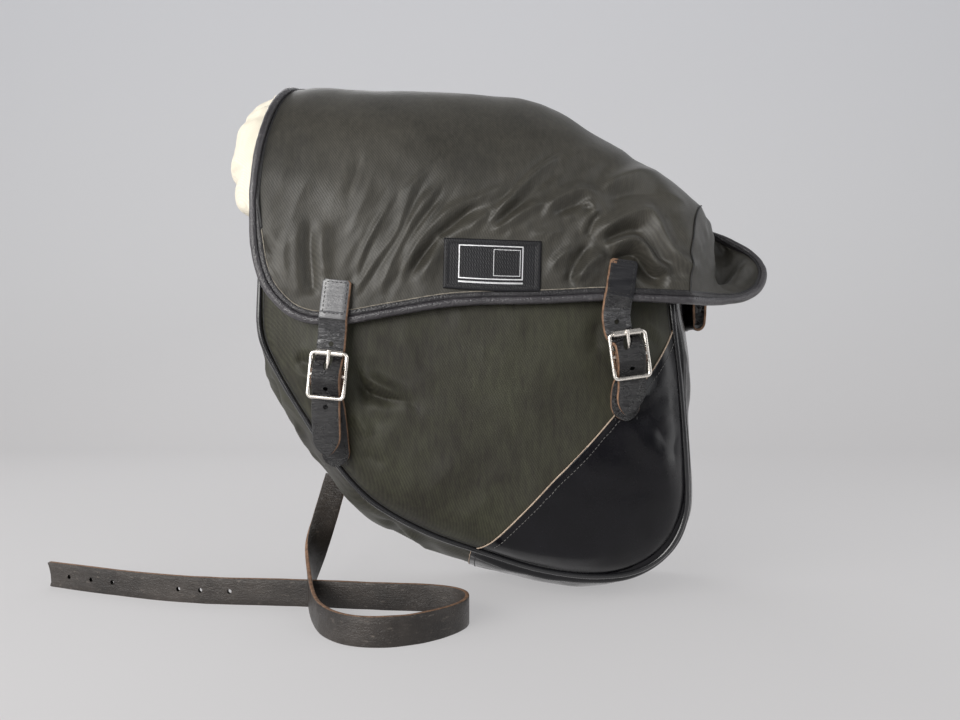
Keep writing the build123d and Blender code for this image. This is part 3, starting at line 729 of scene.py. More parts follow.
# folds as they show on the front, in mm: line, height, width
FLAP_FOLDS = [
    # hanging from the crest to the hem at the left strap
    ([(-118, 286), (-119.5, 262), (-118, 238), (-117, 226)], -3.4, 4.2, 0.9, (0.35, 0.15), 0.0),
    ([(-108, 282), (-109, 262), (-108, 240)], 1.5, 4.5, 0.3, (0.4, 0.2), 0.0),
    ([(-131, 276), (-136, 262), (-136, 246), (-130, 232)], 1.5, 4.0, 0.4, (0.4, 0.3), 0.0),
    ([(-150, 272), (-147, 262), (-141, 256)], -1.3, 2.6, 0.6, (0.3, 0.4), 0.0),
    ([(-148, 252), (-142, 238), (-134, 228)], 1.0, 3.4, 0.4, (0.4, 0.3), 0.0),
    ([(-80, 330), (-87, 312), (-94, 292)], -1.5, 2.6, 0.5, (0.35, 0.4), 0.3),
    ([(-70, 322), (-80, 298), (-94, 264)], 0.8, 3.4, 0.3, (0.4, 0.4), 0.0),
    # fan from the label's upper corner down to the left
    ([(-56, 305), (-66, 287), (-82, 258), (-88, 232)], 0.9, 2.1, 0.9, (0.3, 0.2), 0.2),
    ([(-62, 296), (-76, 270), (-86, 246)], 0.6, 1.5, 0.9, (0.3, 0.2), 0.0),
    ([(-43, 310), (-50, 293), (-60, 270), (-81, 240), (-88, 226)], 1.5, 2.4, 0.9, (0.3, 0.15), 0.3),
    ([(-24, 311), (-37, 292), (-55, 264), (-66, 240), (-70, 226)], 2.2, 3.0, 0.9, (0.25, 0.15), 0.3),
    ([(-34, 304), (-45, 286), (-53, 270)], 1.1, 2.0, 0.8, (0.3, 0.3), 0.0),
    ([(-20, 300), (-34, 284), (-48, 266), (-60, 244), (-64, 230)], 1.5, 2.0, 0.9, (0.25, 0.2), 0.2),
    ([(-8, 297), (-27, 284), (-42, 268), (-54, 246)], 2.3, 3.4, 0.5, (0.3, 0.25), 0.0),
    ([(8, 293), (-4, 289), (-18, 279), (-34, 264), (-46, 248), (-54, 234)], -4.6, 3.6, 0.8, (0.25, 0.25), -0.2),
    ([(-14, 272), (-27, 261), (-38, 247), (-45, 236)], 1.9, 4.2, 0.2, (0.3, 0.3), 0.0),
    ([(28, 298), (8, 287), (-10, 272)], 1.3, 2.1, 0.9, (0.3, 0.3), 0.0),
    ([(20, 306), (2, 297), (-16, 286)], 0.8, 2.4, 0.8, (0.3, 0.4), 0.0),
    # long tight ridge rising to the right above the label
    ([(60, 329), (46, 320), (37, 312.5), (26, 301), (5, 277)], 2.6, 2.3, 0.8, (0.2, 0.1), -0.2),
    ([(62, 319), (44, 307), (30, 294), (12, 277)], -2.0, 3.4, 0.4, (0.25, 0.1), 0.0),
    ([(50, 296), (34, 288), (20, 280), (8, 271)], 2.2, 2.6, 0.8, (0.25, 0.15), 0.0),
    ([(88, 333), (66, 326), (46, 312), (30, 297)], 0.9, 4.5, 0.5, (0.3, 0.3), 0.0),
    ([(60, 276), (48, 270), (34, 270)], 1.6, 3.2, 0.5, (0.3, 0.2), 0.0),
    ([(66, 262), (56, 255), (48, 246)], 1.5, 3.2, 0.5, (0.3, 0.3), 0.0),
    # swoops that turn round the right strap
    ([(43, 282), (50, 292), (60, 299), (73, 302), (84, 298)], 3.4, 3.6, 0.7, (0.3, 0.2), 0.0),
    ([(52, 284), (62, 290), (74, 291), (80, 286)], -2.4, 3.4, 0.5, (0.3, 0.2), 0.0),
    ([(66, 287), (75, 293), (80, 288), (79, 280)], 2.0, 2.4, 0.5, (0.3, 0.3), 0.0),
    ([(84, 300), (96, 309), (112, 313), (130, 310)], 3.2, 4.4, 0.8, (0.25, 0.35), 0.0),
    ([(86, 291), (100, 299), (118, 300), (138, 294)], -3.2, 4.6, 0.4, (0.25, 0.35), 0.0),
    ([(83, 287), (78, 277), (75, 268)], -2.4, 2.2, 0.8, (0.3, 0.2), 0.0),
    ([(80, 267), (88, 275), (98, 281.5), (113, 286.5), (120, 284), (127, 273), (135, 259), (145, 250),
    (156, 243)], 5.4, 4.4, 0.5, (0.15, 0.1), 0.1),
    ([(86, 266), (96, 272), (108, 275), (116, 270)], -3.6, 4.0, 0.3, (0.2, 0.25), 0.0),
    ([(122, 303), (134, 296), (146, 286)], 1.8, 4.0, 0.5, (0.35, 0.3), 0.0),
    ([(132, 285), (141, 276), (147, 262)], 1.6, 4.0, 0.6, (0.35, 0.3), 0.0),
    # the cloth that hangs over the right strap's top and the hollow it is sewn in
    ([(86, 261), (96, 265), (108, 267), (116, 260), (124, 250), (138, 244.5)], 8.6, 3.4, 0.2, (0.2, 0.25),
    0.35),
    ([(90, 250), (98, 255), (108, 257), (114, 250), (121, 242), (134, 236.5)], -8.5, 5.0, 0.1, (0.2, 0.2), 0.2),
    ([(66, 235), (73, 246), (81, 254), (90, 259)], 7.0, 5.0, 0.3, (0.25, 0.25), 0.0),
    ([(69, 229), (78, 240), (86, 248)], 2.4, 4.0, 0.2, (0.3, 0.3), 0.0),
    ([(61, 232), (64, 244), (72, 258), (78, 266)], -3.6, 3.0, 0.5, (0.25, 0.25), 0.0),
    ([(120, 239), (136, 238), (150, 236)], 1.8, 3.2, 0.4, (0.3, 0.3), 0.0),
    # over the crest
    ([(70, 372), (86, 352), (108, 332)], 1.2, 6.0, 0.5, (0.3, 0.4), 0.0),
    ([(96, 352), (112, 334), (132, 318)], 1.3, 4.0, 0.6, (0.3, 0.4), 0.0),
]


def flap_relief(p):
    xs, zs = seen(p)
    front = smoothstep(-52, -100, p[..., 1])
    d = folds(xs, zs, FLAP_FOLDS) * front
    # soft unevenness of stuffed cloth, and fine tight puckers pulled towards the hem's middle
    d += 1.1 * hash_noise(p[..., 0] + 0.4 * p[..., 2], p[..., 1] * 0.6 + p[..., 2], 46, 5)
    d += 0.45 * hash_noise(p[..., 0] + 0.5 * p[..., 2], p[..., 2] - p[..., 1], 17, 9)
    slant = xs - 0.62 * zs
    middle = smoothstep(330, 280, zs) * smoothstep(-100, -80, xs) * smoothstep(20, -10, xs)
    d += 0.22 * hash_noise(slant, zs * 0.16, 3.2, 21) * front * middle
    d += 1.5 * crumple(slant * 0.9, zs * 0.45, 17, 23) * (0.25 + 0.75 * front * smoothstep(345, 300, zs))
    # flat where the label is sewn on
    lab = smoothstep(9, 0, np.maximum(np.abs(xs - LABEL_X) - LABEL_W, np.abs(zs - LABEL_Z) - 16))
    return d * (1 - 0.94 * lab)


flap_rest = flap_grid()
flap_n = grid_normals(flap_rest)
if flap_n[COLS // 2, ROWS // 2, 2] < 0:
    flap_n = -flap_n
relief = flap_relief(flap_rest)
row_len = np.linalg.norm(np.diff(flap_rest, axis=1), axis=2).sum(1)[:, None]
down = np.arange(ROWS)[None, :] / (ROWS - 1) * row_len
to_hem = row_len - down
edge_in = np.linalg.norm(flap_rest - flap_rest[0:1], axis=2)
relief += 0.75 * hash_noise(down + 0.5 * edge_in, edge_in * 0.25, 7.5, 41) * smoothstep(30, 6,
        edge_in) * smoothstep(0, 5, edge_in)
relief += 0.5 * hash_noise(flap_rest[..., 0], to_hem * 0.25, 6.0, 43) * smoothstep(20, 5, to_hem)
to_left = flap_rest[..., 0] - flap_rest[0:1, :, 0]
tame = np.minimum(smoothstep(0, 16, to_hem) * 0.8 + 0.2, smoothstep(0, 12, to_left) * 0.85 + 0.15)
hinge_tame = smoothstep(0, 25, down)
flap_out = flap_rest + flap_n * (relief * tame * hinge_tame)[..., None]
flap_out[..., 1] = np.maximum(flap_out[..., 1], FRONT - 9.5)


def side_grid(nu=110, nv=90):
    """The side of the flap behind the dart seam, and the ear that its hem flares into."""
    S = [0, 0.20, 0.38, 0.53, 0.66, 0.77, 0.86, 0.93, 1.0]
    T = [(172, -80, 299.5), (174, -76, 299.5), (175, -68, 299.5), (176, -58, 299.5), (176, -48, 299.5),
            (176, -38, 299.5), (176, -31, 299.3), (176, -26, 299), (174, -7, 299.6)]
    A = [(160, -111, 285), (176.5, -92, 280), (179, -78, 277), (178, -66, 277), (178, -56, 280),
            (179, -46, 284), (180, -37, 289), (178, -31, 294), (176, -8, 296.6)]
    B = [(148, -134, 259), (171, -108, 256), (178, -92, 252), (180, -80, 250), (184, -70, 256), (189, -58, 266),
            (190, -46, 278), (181, -35, 291), (177.5, -9, 293.4)]
    C = [(147, -141, 244), (167, -119, 242), (178, -103, 238), (188, -92, 238), (200, -80, 246),
            (204, -68, 260), (199, -54, 273), (183, -38, 288), (178.5, -10.5, 290.6)]
    H = [(147, -145, 226), (165, -127, 226), (182, -110, 227.5), (200, -98, 231), (214, -86, 240),
            (219.5, -72, 255), (210, -58, 270), (186, -40, 286), (179.5, -12, 288.2)]
    s = np.linspace(0, 1, nu)
    rows = [smooth_interp(s, S, r) for r in (T, A, B, C, H)]
    g = np.stack([curve_through(np.stack([r[i] for r in rows]), nv) for i in range(nu)])
    return blur(g, 2)


side_rest = side_grid()
# the first column follows the flap's last one, from its crest to the hem
edge = flap_out[-1]
start = int(np.argmin(np.abs(edge[:, 1] + 80)))
edge_col = evenly(edge[start:], side_rest.shape[1])
pull = (1 - smoothstep(0, 0.14, np.linspace(0, 1, side_rest.shape[0])))[:, None, None]
side_rest = side_rest + pull * (edge_col[None] - side_rest[0:1])
# the top row follows the flap's right edge over its crest
top_edge = flap_out[-1][:start + 1][::-1]
top_row = evenly(top_edge[np.abs(top_edge[:, 1]) > 6], side_rest.shape[0])
drop = (1 - smoothstep(0, 0.2, np.linspace(0, 1, side_rest.shape[1])))[None, :, None]
side_rest = side_rest + drop * (top_row[:, None, :] - side_rest[:, 0:1])
side_n = grid_normals(side_rest)
if side_n[30, 40, 0] < 0:
    side_n = -side_n
su = np.linspace(0, 1, side_rest.shape[0])[:, None]
sv = np.linspace(0, 1, side_rest.shape[1])[None, :]
sy, sz = side_rest[..., 1], side_rest[..., 2]
sd = 0.9 * hash_noise(sy * 0.8, sz, 15, 31) + 0.5 * hash_noise(sy, sz, 6, 33)
sd = sd * smoothstep(0, 0.1, su) * smoothstep(0, 0.1, sv) * smoothstep(1, 0.86, sv)
# the ear is hollow behind the dart, and its foot turns up in a facet below a sharp crease
ex, ez = seen(side_rest)
behind = smoothstep(-99, -86, side_rest[..., 1]) * smoothstep(1, 0.9, sv) * smoothstep(0.0, 0.15, 1 - su)
sd += folds(ex, ez, [([(168, 268), (170, 250), (166, 236)], -7.0, 7.0, 0.0, (0.25, 0.1)),
                     ([(164, 231), (174, 237), (189, 254)], 3.6, 4.2, 0.9, (0.15, 0.3), 0.3)]) * behind
side_out = side_rest + side_n * sd[..., None]
cloth_thick = 1.5
flap_g = flap_out if grid_normals(flap_rest)[COLS // 2, ROWS // 2, 2] > 0 else flap_out[::-1]
flap_mesh = strip_grid("flap_cloth", flap_g, [M_FLAP, M_FLAPIN], "flap", cloth_thick)
side_g = side_out if grid_normals(side_rest)[30, 40, 0] > 0 else side_out[::-1]
side_mesh = strip_grid("flap_side_cloth", side_g, [M_FLAP, M_FLAPIN], "flap", cloth_thick)
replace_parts(flap_mesh, "flap_panel")
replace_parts(side_mesh, "flap_ear")

# dart seam: a sunken line
dart = edge_col + np.array([0.3, -0.35, 0.25])
da, db = frames_along(dart, np.array([0.35, -0.9, 0.3]))
sweep_profile("dart_seam", dart[7:-2], da[7:-2], db[7:-2], ring_profile(0.55, 6), M_THREAD, "flap")

# binding: inner flat strip, groove and a rolled bead round the raw edge
side_hem = side_out[:, -1]
left_edge = flap_out[0]
hem_edge = flap_out[:, -1]
bind_path = np.concatenate([left_edge[:-1], hem_edge[:-1], side_hem])
fn = blur(flap_n, 6)
sn = blur(side_n, 4)
bind_n = np.concatenate([fn[0, :-1], fn[:-1, -1], sn[:, -1]])
inw = np.concatenate([(flap_out[6] - flap_out[0])[:-1], (flap_out[:, -7] - flap_out[:, -1])[:-1],
        side_out[:, -6] - side_out[:, -1]])
pack = np.concatenate([bind_path, bind_n, unit(inw)], axis=1)
step = np.linalg.norm(np.diff(bind_path, axis=0), axis=1)
pack = pack[np.concatenate([[True], step > 0.05])]
at = lengths_along(pack[:, :3])
nb = 760
ub = np.linspace(0, at[-1], nb)
pack = np.stack([np.interp(ub, at, pack[:, k]) for k in range(9)], axis=1)
for _ in range(10):
    pack[1:-1] = 0.25 * pack[:-2] + 0.5 * pack[1:-1] + 0.25 * pack[2:]
bpath, bn, bi = pack[:, :3], pack[:, 3:6], pack[:, 6:9]
for _ in range(40):
    bn[1:-1] = 0.25 * bn[:-2] + 0.5 * bn[1:-1] + 0.25 * bn[2:]
bt = unit(np.gradient(bpath, axis=0))
across = np.cross(bn, bt)
bi = unit(across) * np.sign((across * bi).sum(1).mean())
bnn = np.cross(bt, bi)
bnn *= np.sign((bnn * bn).sum())
hem_share = smoothstep(-60, -135, bpath[:, 1]) * smoothstep(300, 262, bpath[:, 2])
strip_w = 3.0 + 2.6 * hem_share


def binding():
    rows, n = [], len(bpath)
    wob = 0.12 * hash_noise(np.linspace(0, 220, n), np.zeros(n), 1.0, 4)
    for i in range(n):
        w = strip_w[i]
        r = 2.55 + 0.55 * hem_share[i] + wob[i]
        prof = [(w, -0.4), (w, 0.75), (w - 0.4, 1.05), (w * 0.55, 1.15), (1.7, 0.95), (1.1, 0.35)]
        a = np.radians(np.linspace(40, 320, 15))
        arc = [(-0.9 + r * math.cos(t), -0.55 + r * math.sin(t)) for t in a]
        back = [(1.0, -2.2), (w * 0.5, -2.5), (w, -2.4), (w + 0.1, -1.6)]
        rows.append([bpath[i] + bi[i] * x + bnn[i] * y for x, y in prof + arc + back])
    v = np.array(rows)
    m = v.shape[1]
    faces = grid_faces(n, m, close_v=True) + end_caps(n, m)
    flat_side = [1 if j < 6 else 0 for _ in range(n - 1) for j in range(m)] + [0, 0]
    ob = new_object("flap_leather_edge", v.reshape(-1, 3), faces, [M_BIND, M_BINDSTRIP], "flap",
            mat_index=flat_side)
    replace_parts(ob, "flap_binding")


binding()
line = bpath + bi * (strip_w[:, None] + 0.1) + bnn * 0.75
pale = (hem_share > 0.75) & (bpath[:, 0] < 100)
ids = np.where(pale)[0]
sweep_profile("edge_raw_line", line[ids], bnn[ids], bi[ids], ring_profile(0.42, 6), M_RAWLINE, "flap")
# painted shadow: a black cord along the inner edge of the left binding stands for the shade in the gap there
ids = np.where(hem_share <= 0.75)[0]
ids = ids[ids < nb // 2]
sweep_profile("edge_painted_shadow_line", line[ids] - bnn[ids] * 0.35, bnn[ids], bi[ids], ring_profile(0.85, 8), M_THREAD,
        "flap")
stitches("edge_stitches", (bpath + bi * (strip_w[:, None] - 1.1) + bnn * 1.1)[4:-4], bnn[4:-4], "flap",
        pitch=2.9, length=2.0, r=0.26)

# ------------------------------------------------------------------ body shapes
SEAMS = np.array([
    (-158, 288, -172, 290), (-161, 230, -174, 230), (-160, 200, -171, 190), (-148, 174, -162, 160),
    (-130, 144, -145, 125),
    (-108, 111, -124, 98), (-80, 80, -94, 62), (-40, 57, -49, 33), (2, 42, 6, 14), (45, 29, 55, 7),
    (85, 24, 91, 3.6),
    (116, 28, 125, 8), (138, 43, 156, 22), (150, 68, 171, 48), (151, 100, 174, 90), (146, 168, 173, 166),
    (139, 230, 172, 230),
    (136, 288, 170, 290)], float)
seam = curve_through(SEAMS, 640)
NS = len(seam)
front_line, back_line = seam[:, :2], seam[:, 2:]


def outset(line, d):
    t = unit(np.gradient(line, axis=0))
    return line + np.stack([t[:, 1], -t[:, 0]], axis=1) * np.asarray(d).reshape(-1, 1)


# the front swells from its seam, by the share of the way from its middle to the seam
MID = np.array([-5.0, 150.0])
top_line = np.stack([np.linspace(136, -158, 130)[1:-1], np.full(128, 288.0)], axis=1)
outline = np.vstack([front_line, top_line])
ang = np.arctan2(outline[:, 1] - MID[1], outline[:, 0] - MID[0])
order = np.argsort(ang)
ANG, RAD = ang[order], np.hypot(outline[order, 0] - MID[0], outline[order, 1] - MID[1])
EVEN = np.linspace(-np.pi, np.pi, 720, endpoint=False)
SOFT = np.interp(EVEN, ANG, RAD, period=2 * np.pi)
SOFT = np.mean([np.roll(SOFT, k) for k in range(-26, 27)], axis=0)

FRONT_FOLDS = [
    ([(-88, 176), (-76, 168), (-60, 159), (-36, 138)], 2.6, 4.2, 0.5, (0.2, 0.3), 0.0),
    ([(-87, 164), (-70, 156), (-52, 153), (-38, 138)], -3.0, 4.0, 0.4, (0.15, 0.3), 0.0),
    ([(-87, 178), (-84, 165), (-80, 152), (-76, 146)], -3.6, 5.0, 0.2, (0.3, 0.4), 0.0),
    ([(-134, 184), (-122, 180), (-112, 176)], -2.6, 4.4, 0.5, (0.25, 0.3), 0.0),
    ([(-134, 172), (-124, 170), (-112, 166)], 1.6, 3.6, 0.3, (0.3, 0.3), 0.0),
    ([(-90, 146), (-84, 138), (-78, 128)], 1.8, 4.2, 0.5, (0.3, 0.3), 0.0),
    ([(-84, 118), (-76, 112), (-66, 108)], -1.2, 4.5, 0.4, (0.3, 0.3), 0.0),
    ([(40, 190), (62, 176), (84, 170)], 1.0, 9.0, 0.5, (0.35, 0.35), 0.0),
    ([(112, 216), (124, 207), (134, 200)], 0.9, 4.5, 0.5, (0.35, 0.35), 0.0),
    ([(112, 206), (122, 198), (132, 190)], -0.8, 4.0, 0.5, (0.35, 0.35), 0.0),
    ([(84, 214), (82, 200), (84, 186)], -1.6, 6.5, 0.3, (0.3, 0.3), 0.0),
    ([(-20, 64), (-4, 74), (14, 92)], 0.9, 6.5, 0.6, (0.3, 0.4), 0.0),
    ([(-46, 82), (-30, 96), (-12, 116)], 0.8, 8.0, 0.6, (0.3, 0.4), 0.0),
]


def front_y(x, z, creased=True):
    x, z = np.asarray(x, float), np.asarray(z, float)
    a = np.arctan2(z - MID[1], x - MID[0])
    s = np.clip(np.hypot(x - MID[0], z - MID[1]) / np.interp(a, ANG, RAD, period=2 * np.pi), 0, 1)
    soft = np.clip(np.hypot(x - MID[0], z - MID[1]) / np.interp(a, EVEN, SOFT, period=2 * np.pi), 0, 1)
    y = -110.0 - 28.0 * np.sqrt(np.maximum(0, 1 - soft ** 3.2) * (1 - s ** 12))
    if creased:
        d = 1.3 * folds(x, z, FRONT_FOLDS) + 1.3 * hash_noise(x, z, 42, 51) + 0.3 * hash_noise(x, z, 13, 53)
        d += 1.2 * crumple(x, z * 0.8 + 0.3 * x, 30, 55)
        y = y - d * smoothstep(1.0, 0.93, s)
    return y


def front_panel():
    ns = 96
    s = np.sin(np.linspace(0.0, 1.0, ns) * np.pi / 2) ** 0.8
    s[0] = 0.004
    loop = np.vstack([outline, outline[:1]])
    loop = evenly(loop, 521)[:-1]
    x = MID[0] + (loop[:, 0] - MID[0])[:, None] * s[None, :]
    z = MID[1] + (loop[:, 1] - MID[1])[:, None] * s[None, :]
    y = front_y(x, z)
    y[:, -1] = -109.6
    p = np.stack([x, y, z], axis=2)
    m = len(loop)
    f = grid_faces(m, ns, close_u=True)
    f.append(tuple(i * ns for i in reversed(range(m))))
    test = np.cross(p[1, 50] - p[0, 50], p[0, 51] - p[0, 50])[1]
    if test > 0:
        f = [q[::-1] for q in f]
    # the inner face, and the cut edge between the two
    q = p.copy()
    q[..., 1] += 1.5
    total = m * ns
    inner = [tuple(k + total for k in r[::-1]) for r in f]
    rim = [(i * ns + ns - 1, ((i + 1) % m) * ns + ns - 1) for i in range(m)]
    edge_faces = [(b, a, a + total, b + total) for a, b in rim]
    if test > 0:
        edge_faces = [r[::-1] for r in edge_faces]
    ob = new_object("front_cloth", np.vstack([p.reshape(-1, 3), q.reshape(-1, 3)]), f + inner + edge_faces,
            M_BODY, "bag")
    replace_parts(ob, "front_panel")
    return ob


front_mesh = front_panel()

# ------------------------------------------------------------------ gusset between the seams
NV = 96


def gusset_grid():
    v = np.linspace(0, 1, NV)
    mix = front_line[:, None, :] * (1 - v)[None, :, None] + back_line[:, None, :] * v[None, :, None]
    t = unit(np.gradient(mix, axis=0))
    out = np.stack([t[..., 1], -t[..., 0]], axis=2)
    along = lengths_along(front_line)
    full = smoothstep(50, 125, along) * smoothstep(585, 530, np.arange(NS))
    belly = (3.6 + 8.4 * full[:, None]) * (4 * v * (1 - v))[None, :] ** 0.7
    y = -110 + 107.4 * v
    leather = smoothstep(276, 300, np.arange(NS))
    Y = np.broadcast_to(y[None, :], mix.shape[:2])
    L = np.broadcast_to(along[:, None], mix.shape[:2])
    d = 1.7 * hash_noise(L, Y + 0.5 * L, 34, 61) + 0.8 * hash_noise(L + 0.6 * Y, Y, 15, 63)
    # a sharp dent and its ridge low on the left, then softer ones along the leather
    d += fold(L, Y, [(118, -96), (128, -72), (150, -50)], -4.4, 6.0, 0.5, (0.25, 0.3))
    d += fold(L, Y, [(104, -88), (110, -66), (124, -44)], 2.2, 5.0, 0.5, (0.25, 0.3))
    d += fold(L, Y, [(150, -92), (166, -70), (190, -52)], 2.4, 6.0, 0.5, (0.25, 0.3))
    d += fold(L, Y, [(60, -100), (72, -70), (80, -40)], -2.4, 8.0, 0.5, (0.25, 0.3))
    d += fold(L, Y, [(250, -98), (262, -80), (266, -60)], -3.4, 5.0, 0.5, (0.2, 0.3))
    d += fold(L, Y, [(268, -98), (280, -80), (288, -56)], 2.0, 5.0, 0.5, (0.2, 0.3))
    top = L.max()
    # drawn tight against the front seam round the lower right corner
    tight = smoothstep(top - 80, top - 150, L) * smoothstep(top - 330, top - 250, L)
    belly = belly * (1 - 0.62 * tight)
    d = d * (1 - 0.6 * tight)
    d += fold(L, Y, [(top - 96, -99), (top - 118, -84), (top - 150, -58)], 1.6, 7.0, 0.7, (0.12, 0.3), 0.2)
    d += fold(L, Y, [(top - 48, -97), (top - 78, -90), (top - 104, -74)], -2.2, 6.0, 0.4, (0.2, 0.3))
    d += fold(L, Y, [(top - 170, -97), (top - 200, -80), (top - 240, -70)], 1.2, 8.0, 0.6, (0.2, 0.3))
    edge = smoothstep(0, 0.12, np.minimum(v, 1 - v))
    # the leather is folded round a second cord just behind the front piping
    rolls = ((2.3, -101.4, 1.9), (-1.3, -105.6, 1.3), (-0.9, -97.2, 2.0))
    second = leather[:, None] * sum(h * np.exp(-((Y - at) / w) ** 2) for h, at, w in rolls)
    r = belly + np.clip(d, -5, 2.2) * edge[None, :] + second
    p2 = mix + out * r[..., None]
    # it settles softly on the ground
    over = p2[..., 1] - 2.2
    rest = 2.2 + np.logaddexp(0, over * 0.8) / 0.8 - math.log(2) / 0.8 * np.exp(-np.maximum(over, 0))
    return np.stack([p2[..., 0], Y, np.maximum(rest, 1.2)], axis=2)


gus = gusset_grid()
gn = grid_normals(gus)
sgn = 1.0 if gn[40, 48, 0] < 0 else -1.0
gn = gn * sgn


def gusset_piece(name, lo, hi, material, node_name, lift=0.0):
    p = gus[lo:hi] + gn[lo:hi] * lift
    q = gus[lo:hi] - gn[lo:hi] * (1.8 - lift * 0.5)
    if sgn < 0:
        p, q = p[::-1], q[::-1]
    ob = strip_grid(name, p, [material, M_FLAPIN], "bag", 1.8, inner=q)
    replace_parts(ob, node_name)
    return ob


CUT_L, CUT_R = 284, 603
left_mesh = gusset_piece("side_cloth_left", 0, CUT_L + 10, M_BODY, "left_gusset")
gusset_piece("side_leather", CUT_L, CUT_R, M_BLACK, "bottom_gusset", lift=1.0)
right_mesh = gusset_piece("side_cloth_right", CUT_R - 8, NS, M_BODY, "right_gusset")
for nm, k in (("leather_end_left", CUT_L), ("leather_end_right", CUT_R - 1)):
    line = gus[k, 2:-2] + gn[k, 2:-2] * 0.55
    trim(nm, line, gn[k, 2:-2], bar_profile(0.62, 0.9, 0.35), M_TAN)
    sgo = 4 if k == CUT_L else -4
    stitches(nm + "_stitches", gus[k + sgo, 3:-3] + gn[k + sgo, 3:-3] * 1.1, gn[k + sgo, 3:-3], "bag",
            pitch=3.4, length=2.3)


def seam_cord(name, line, y, r, node_name):
    p = np.stack([line[:, 0], np.full(len(line), y), line[:, 1]], axis=1)
    n = len(p)
    s = 1 + 0.06 * hash_noise(np.arange(n) * 0.11, np.zeros(n), 1.0, 71)
    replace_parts(trim(name, p, (0, 1, 0), ring_profile(r, 14), M_PIPE, scale=s), node_name)


seam_cord("front_seam_cord", outset(front_line, 1.3), -110.3, 2.3, "front_piping")
seam_cord("back_seam_cord", outset(back_line, 1.0), -2.9, 2.2, "back_piping")
# a thread line along the narrow welt that holds the front cord
welt_line = outset(front_line, -2.2)
wy = front_y(welt_line[:, 0], welt_line[:, 1], False)
wel = np.stack([welt_line[:, 0], wy - 0.35, welt_line[:, 1]], axis=1)
a, b = frames_along(wel, (0, -1, 0))
sweep_profile("front_seam_line", wel[4:-4], a[4:-4], b[4:-4], ring_profile(0.45, 6), M_THREAD, "bag")

# ------------------------------------------------------------------ leather corner patch
PATCH = [(142, 204), (137, 195), (128, 181), (119, 169.5), (107, 156), (93.5, 141), (76, 121.5), (64, 109),
        (51, 96), (33, 76.5), (17, 59.5), (9, 51.5), (3, 46.5), (-2, 43.5)]
NP, NW = 260, 110
pe = curve_through(PATCH, NP)
i0 = int(np.argmin(np.hypot(front_line[:, 0] + 2, front_line[:, 1] - 43)))
i1 = int(np.argmin(np.hypot(front_line[:, 0] - 142.6, front_line[:, 1] - 204)))
rim = evenly(outset(front_line, 0.2)[i0:i1 + 1], NP)[::-1]
w = np.linspace(0, 1, NW)
px = pe[:, None, 0] * (1 - w) + rim[:, None, 0] * w
pz = pe[:, None, 1] * (1 - w) + rim[:, None, 1] * w
leather_soft = 1.9 * hash_noise(px, pz, 48, 81) + 0.5 * hash_noise(px + pz, pz, 24, 83)
leather_soft += folds(px, pz, [
    ([(112, 170), (118, 146), (124, 122), (136, 96), (140, 72)], 3.2, 13.0, 0.6, (0.15, 0.3)),
    ([(8, 50), (40, 43), (70, 40), (96, 40)], 2.2, 7.0, 0.5, (0.1, 0.3)),
    ([(118, 160), (126, 138), (136, 118)], -1.0, 8.0, 0.5, (0.3, 0.3))])
margin = np.minimum(smoothstep(0, 0.05, w), smoothstep(1, 0.9, w))[None, :]
py = front_y(px, pz) - 1.25 - leather_soft * margin
patch_p = np.stack([px, py, pz], axis=2)
if grid_normals(patch_p)[100, 50, 1] > 0:
    patch_p = patch_p[::-1]
ob = strip_grid("corner_leather", patch_p, [M_BLACK, M_EDGE], "bag", 1.15)
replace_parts(ob, "corner_patch")
el = np.stack([pe[:, 0], front_y(pe[:, 0], pe[:, 1]) - 0.75, pe[:, 1]], axis=1)
trim("corner_raw_edge", el, (0, -1, 0), bar_profile(0.5, 0.6, 0.42), M_TAN)
across_w = np.hypot(px - px[:, :1], pz - pz[:, :1])
at_col = np.argmin(np.abs(across_w - 5.2), axis=1)
row_i = np.arange(NP)
sp = np.stack([px[row_i, at_col], py[row_i, at_col] - 0.1, pz[row_i, at_col]], axis=1)
sp = evenly(blur(sp, 8, axes=(0,))[8:-14], 260)
stitches("corner_stitches", sp, (0, -1, 0), "bag", pitch=3.1, length=2.2, r=0.3, material=M_THREADG)

# ------------------------------------------------------------------ back: cloth below, leather yoke above
imin = int(np.argmin(back_line[:, 1]))


def back_bounds(z):
    left = back_line[:imin + 1][::-1]
    right = back_line[imin:]
    return np.interp(z, left[:, 1], left[:, 0]), np.interp(z, right[:, 1], right[:, 0])


def back_piece(name, z0, z1, nz, material, node_name, thick, sink, seed):
    z = np.linspace(z0, z1, nz)
    xl, xr = back_bounds(np.minimum(z, 289))
    if z1 > 290:
        lift = np.clip((z - 289) / (z1 - 289), 0, 1)
        xl, xr = xl + lift * 18, xr - lift * 6
    f = np.linspace(0, 1, 150)
    x = xl[:, None] * (1 - f) + xr[:, None] * f
    zz = np.broadcast_to(z[:, None], x.shape)
    y = -sink - 0.35 * (hash_noise(x, zz, 30, seed) * 0.5 + 0.5) - 0.12 * (hash_noise(x, zz, 9, seed + 1) * 0.5
            + 0.5)
    p = np.stack([x, y, zz], axis=2)
    if grid_normals(p)[nz // 2, 75, 1] < 0:
        p = p[::-1]
    q = p.copy()
    q[..., 1] = -thick
    ob = strip_grid(name, p, [material], "bag", thick, inner=q)
    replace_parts(ob, node_name)
    return ob


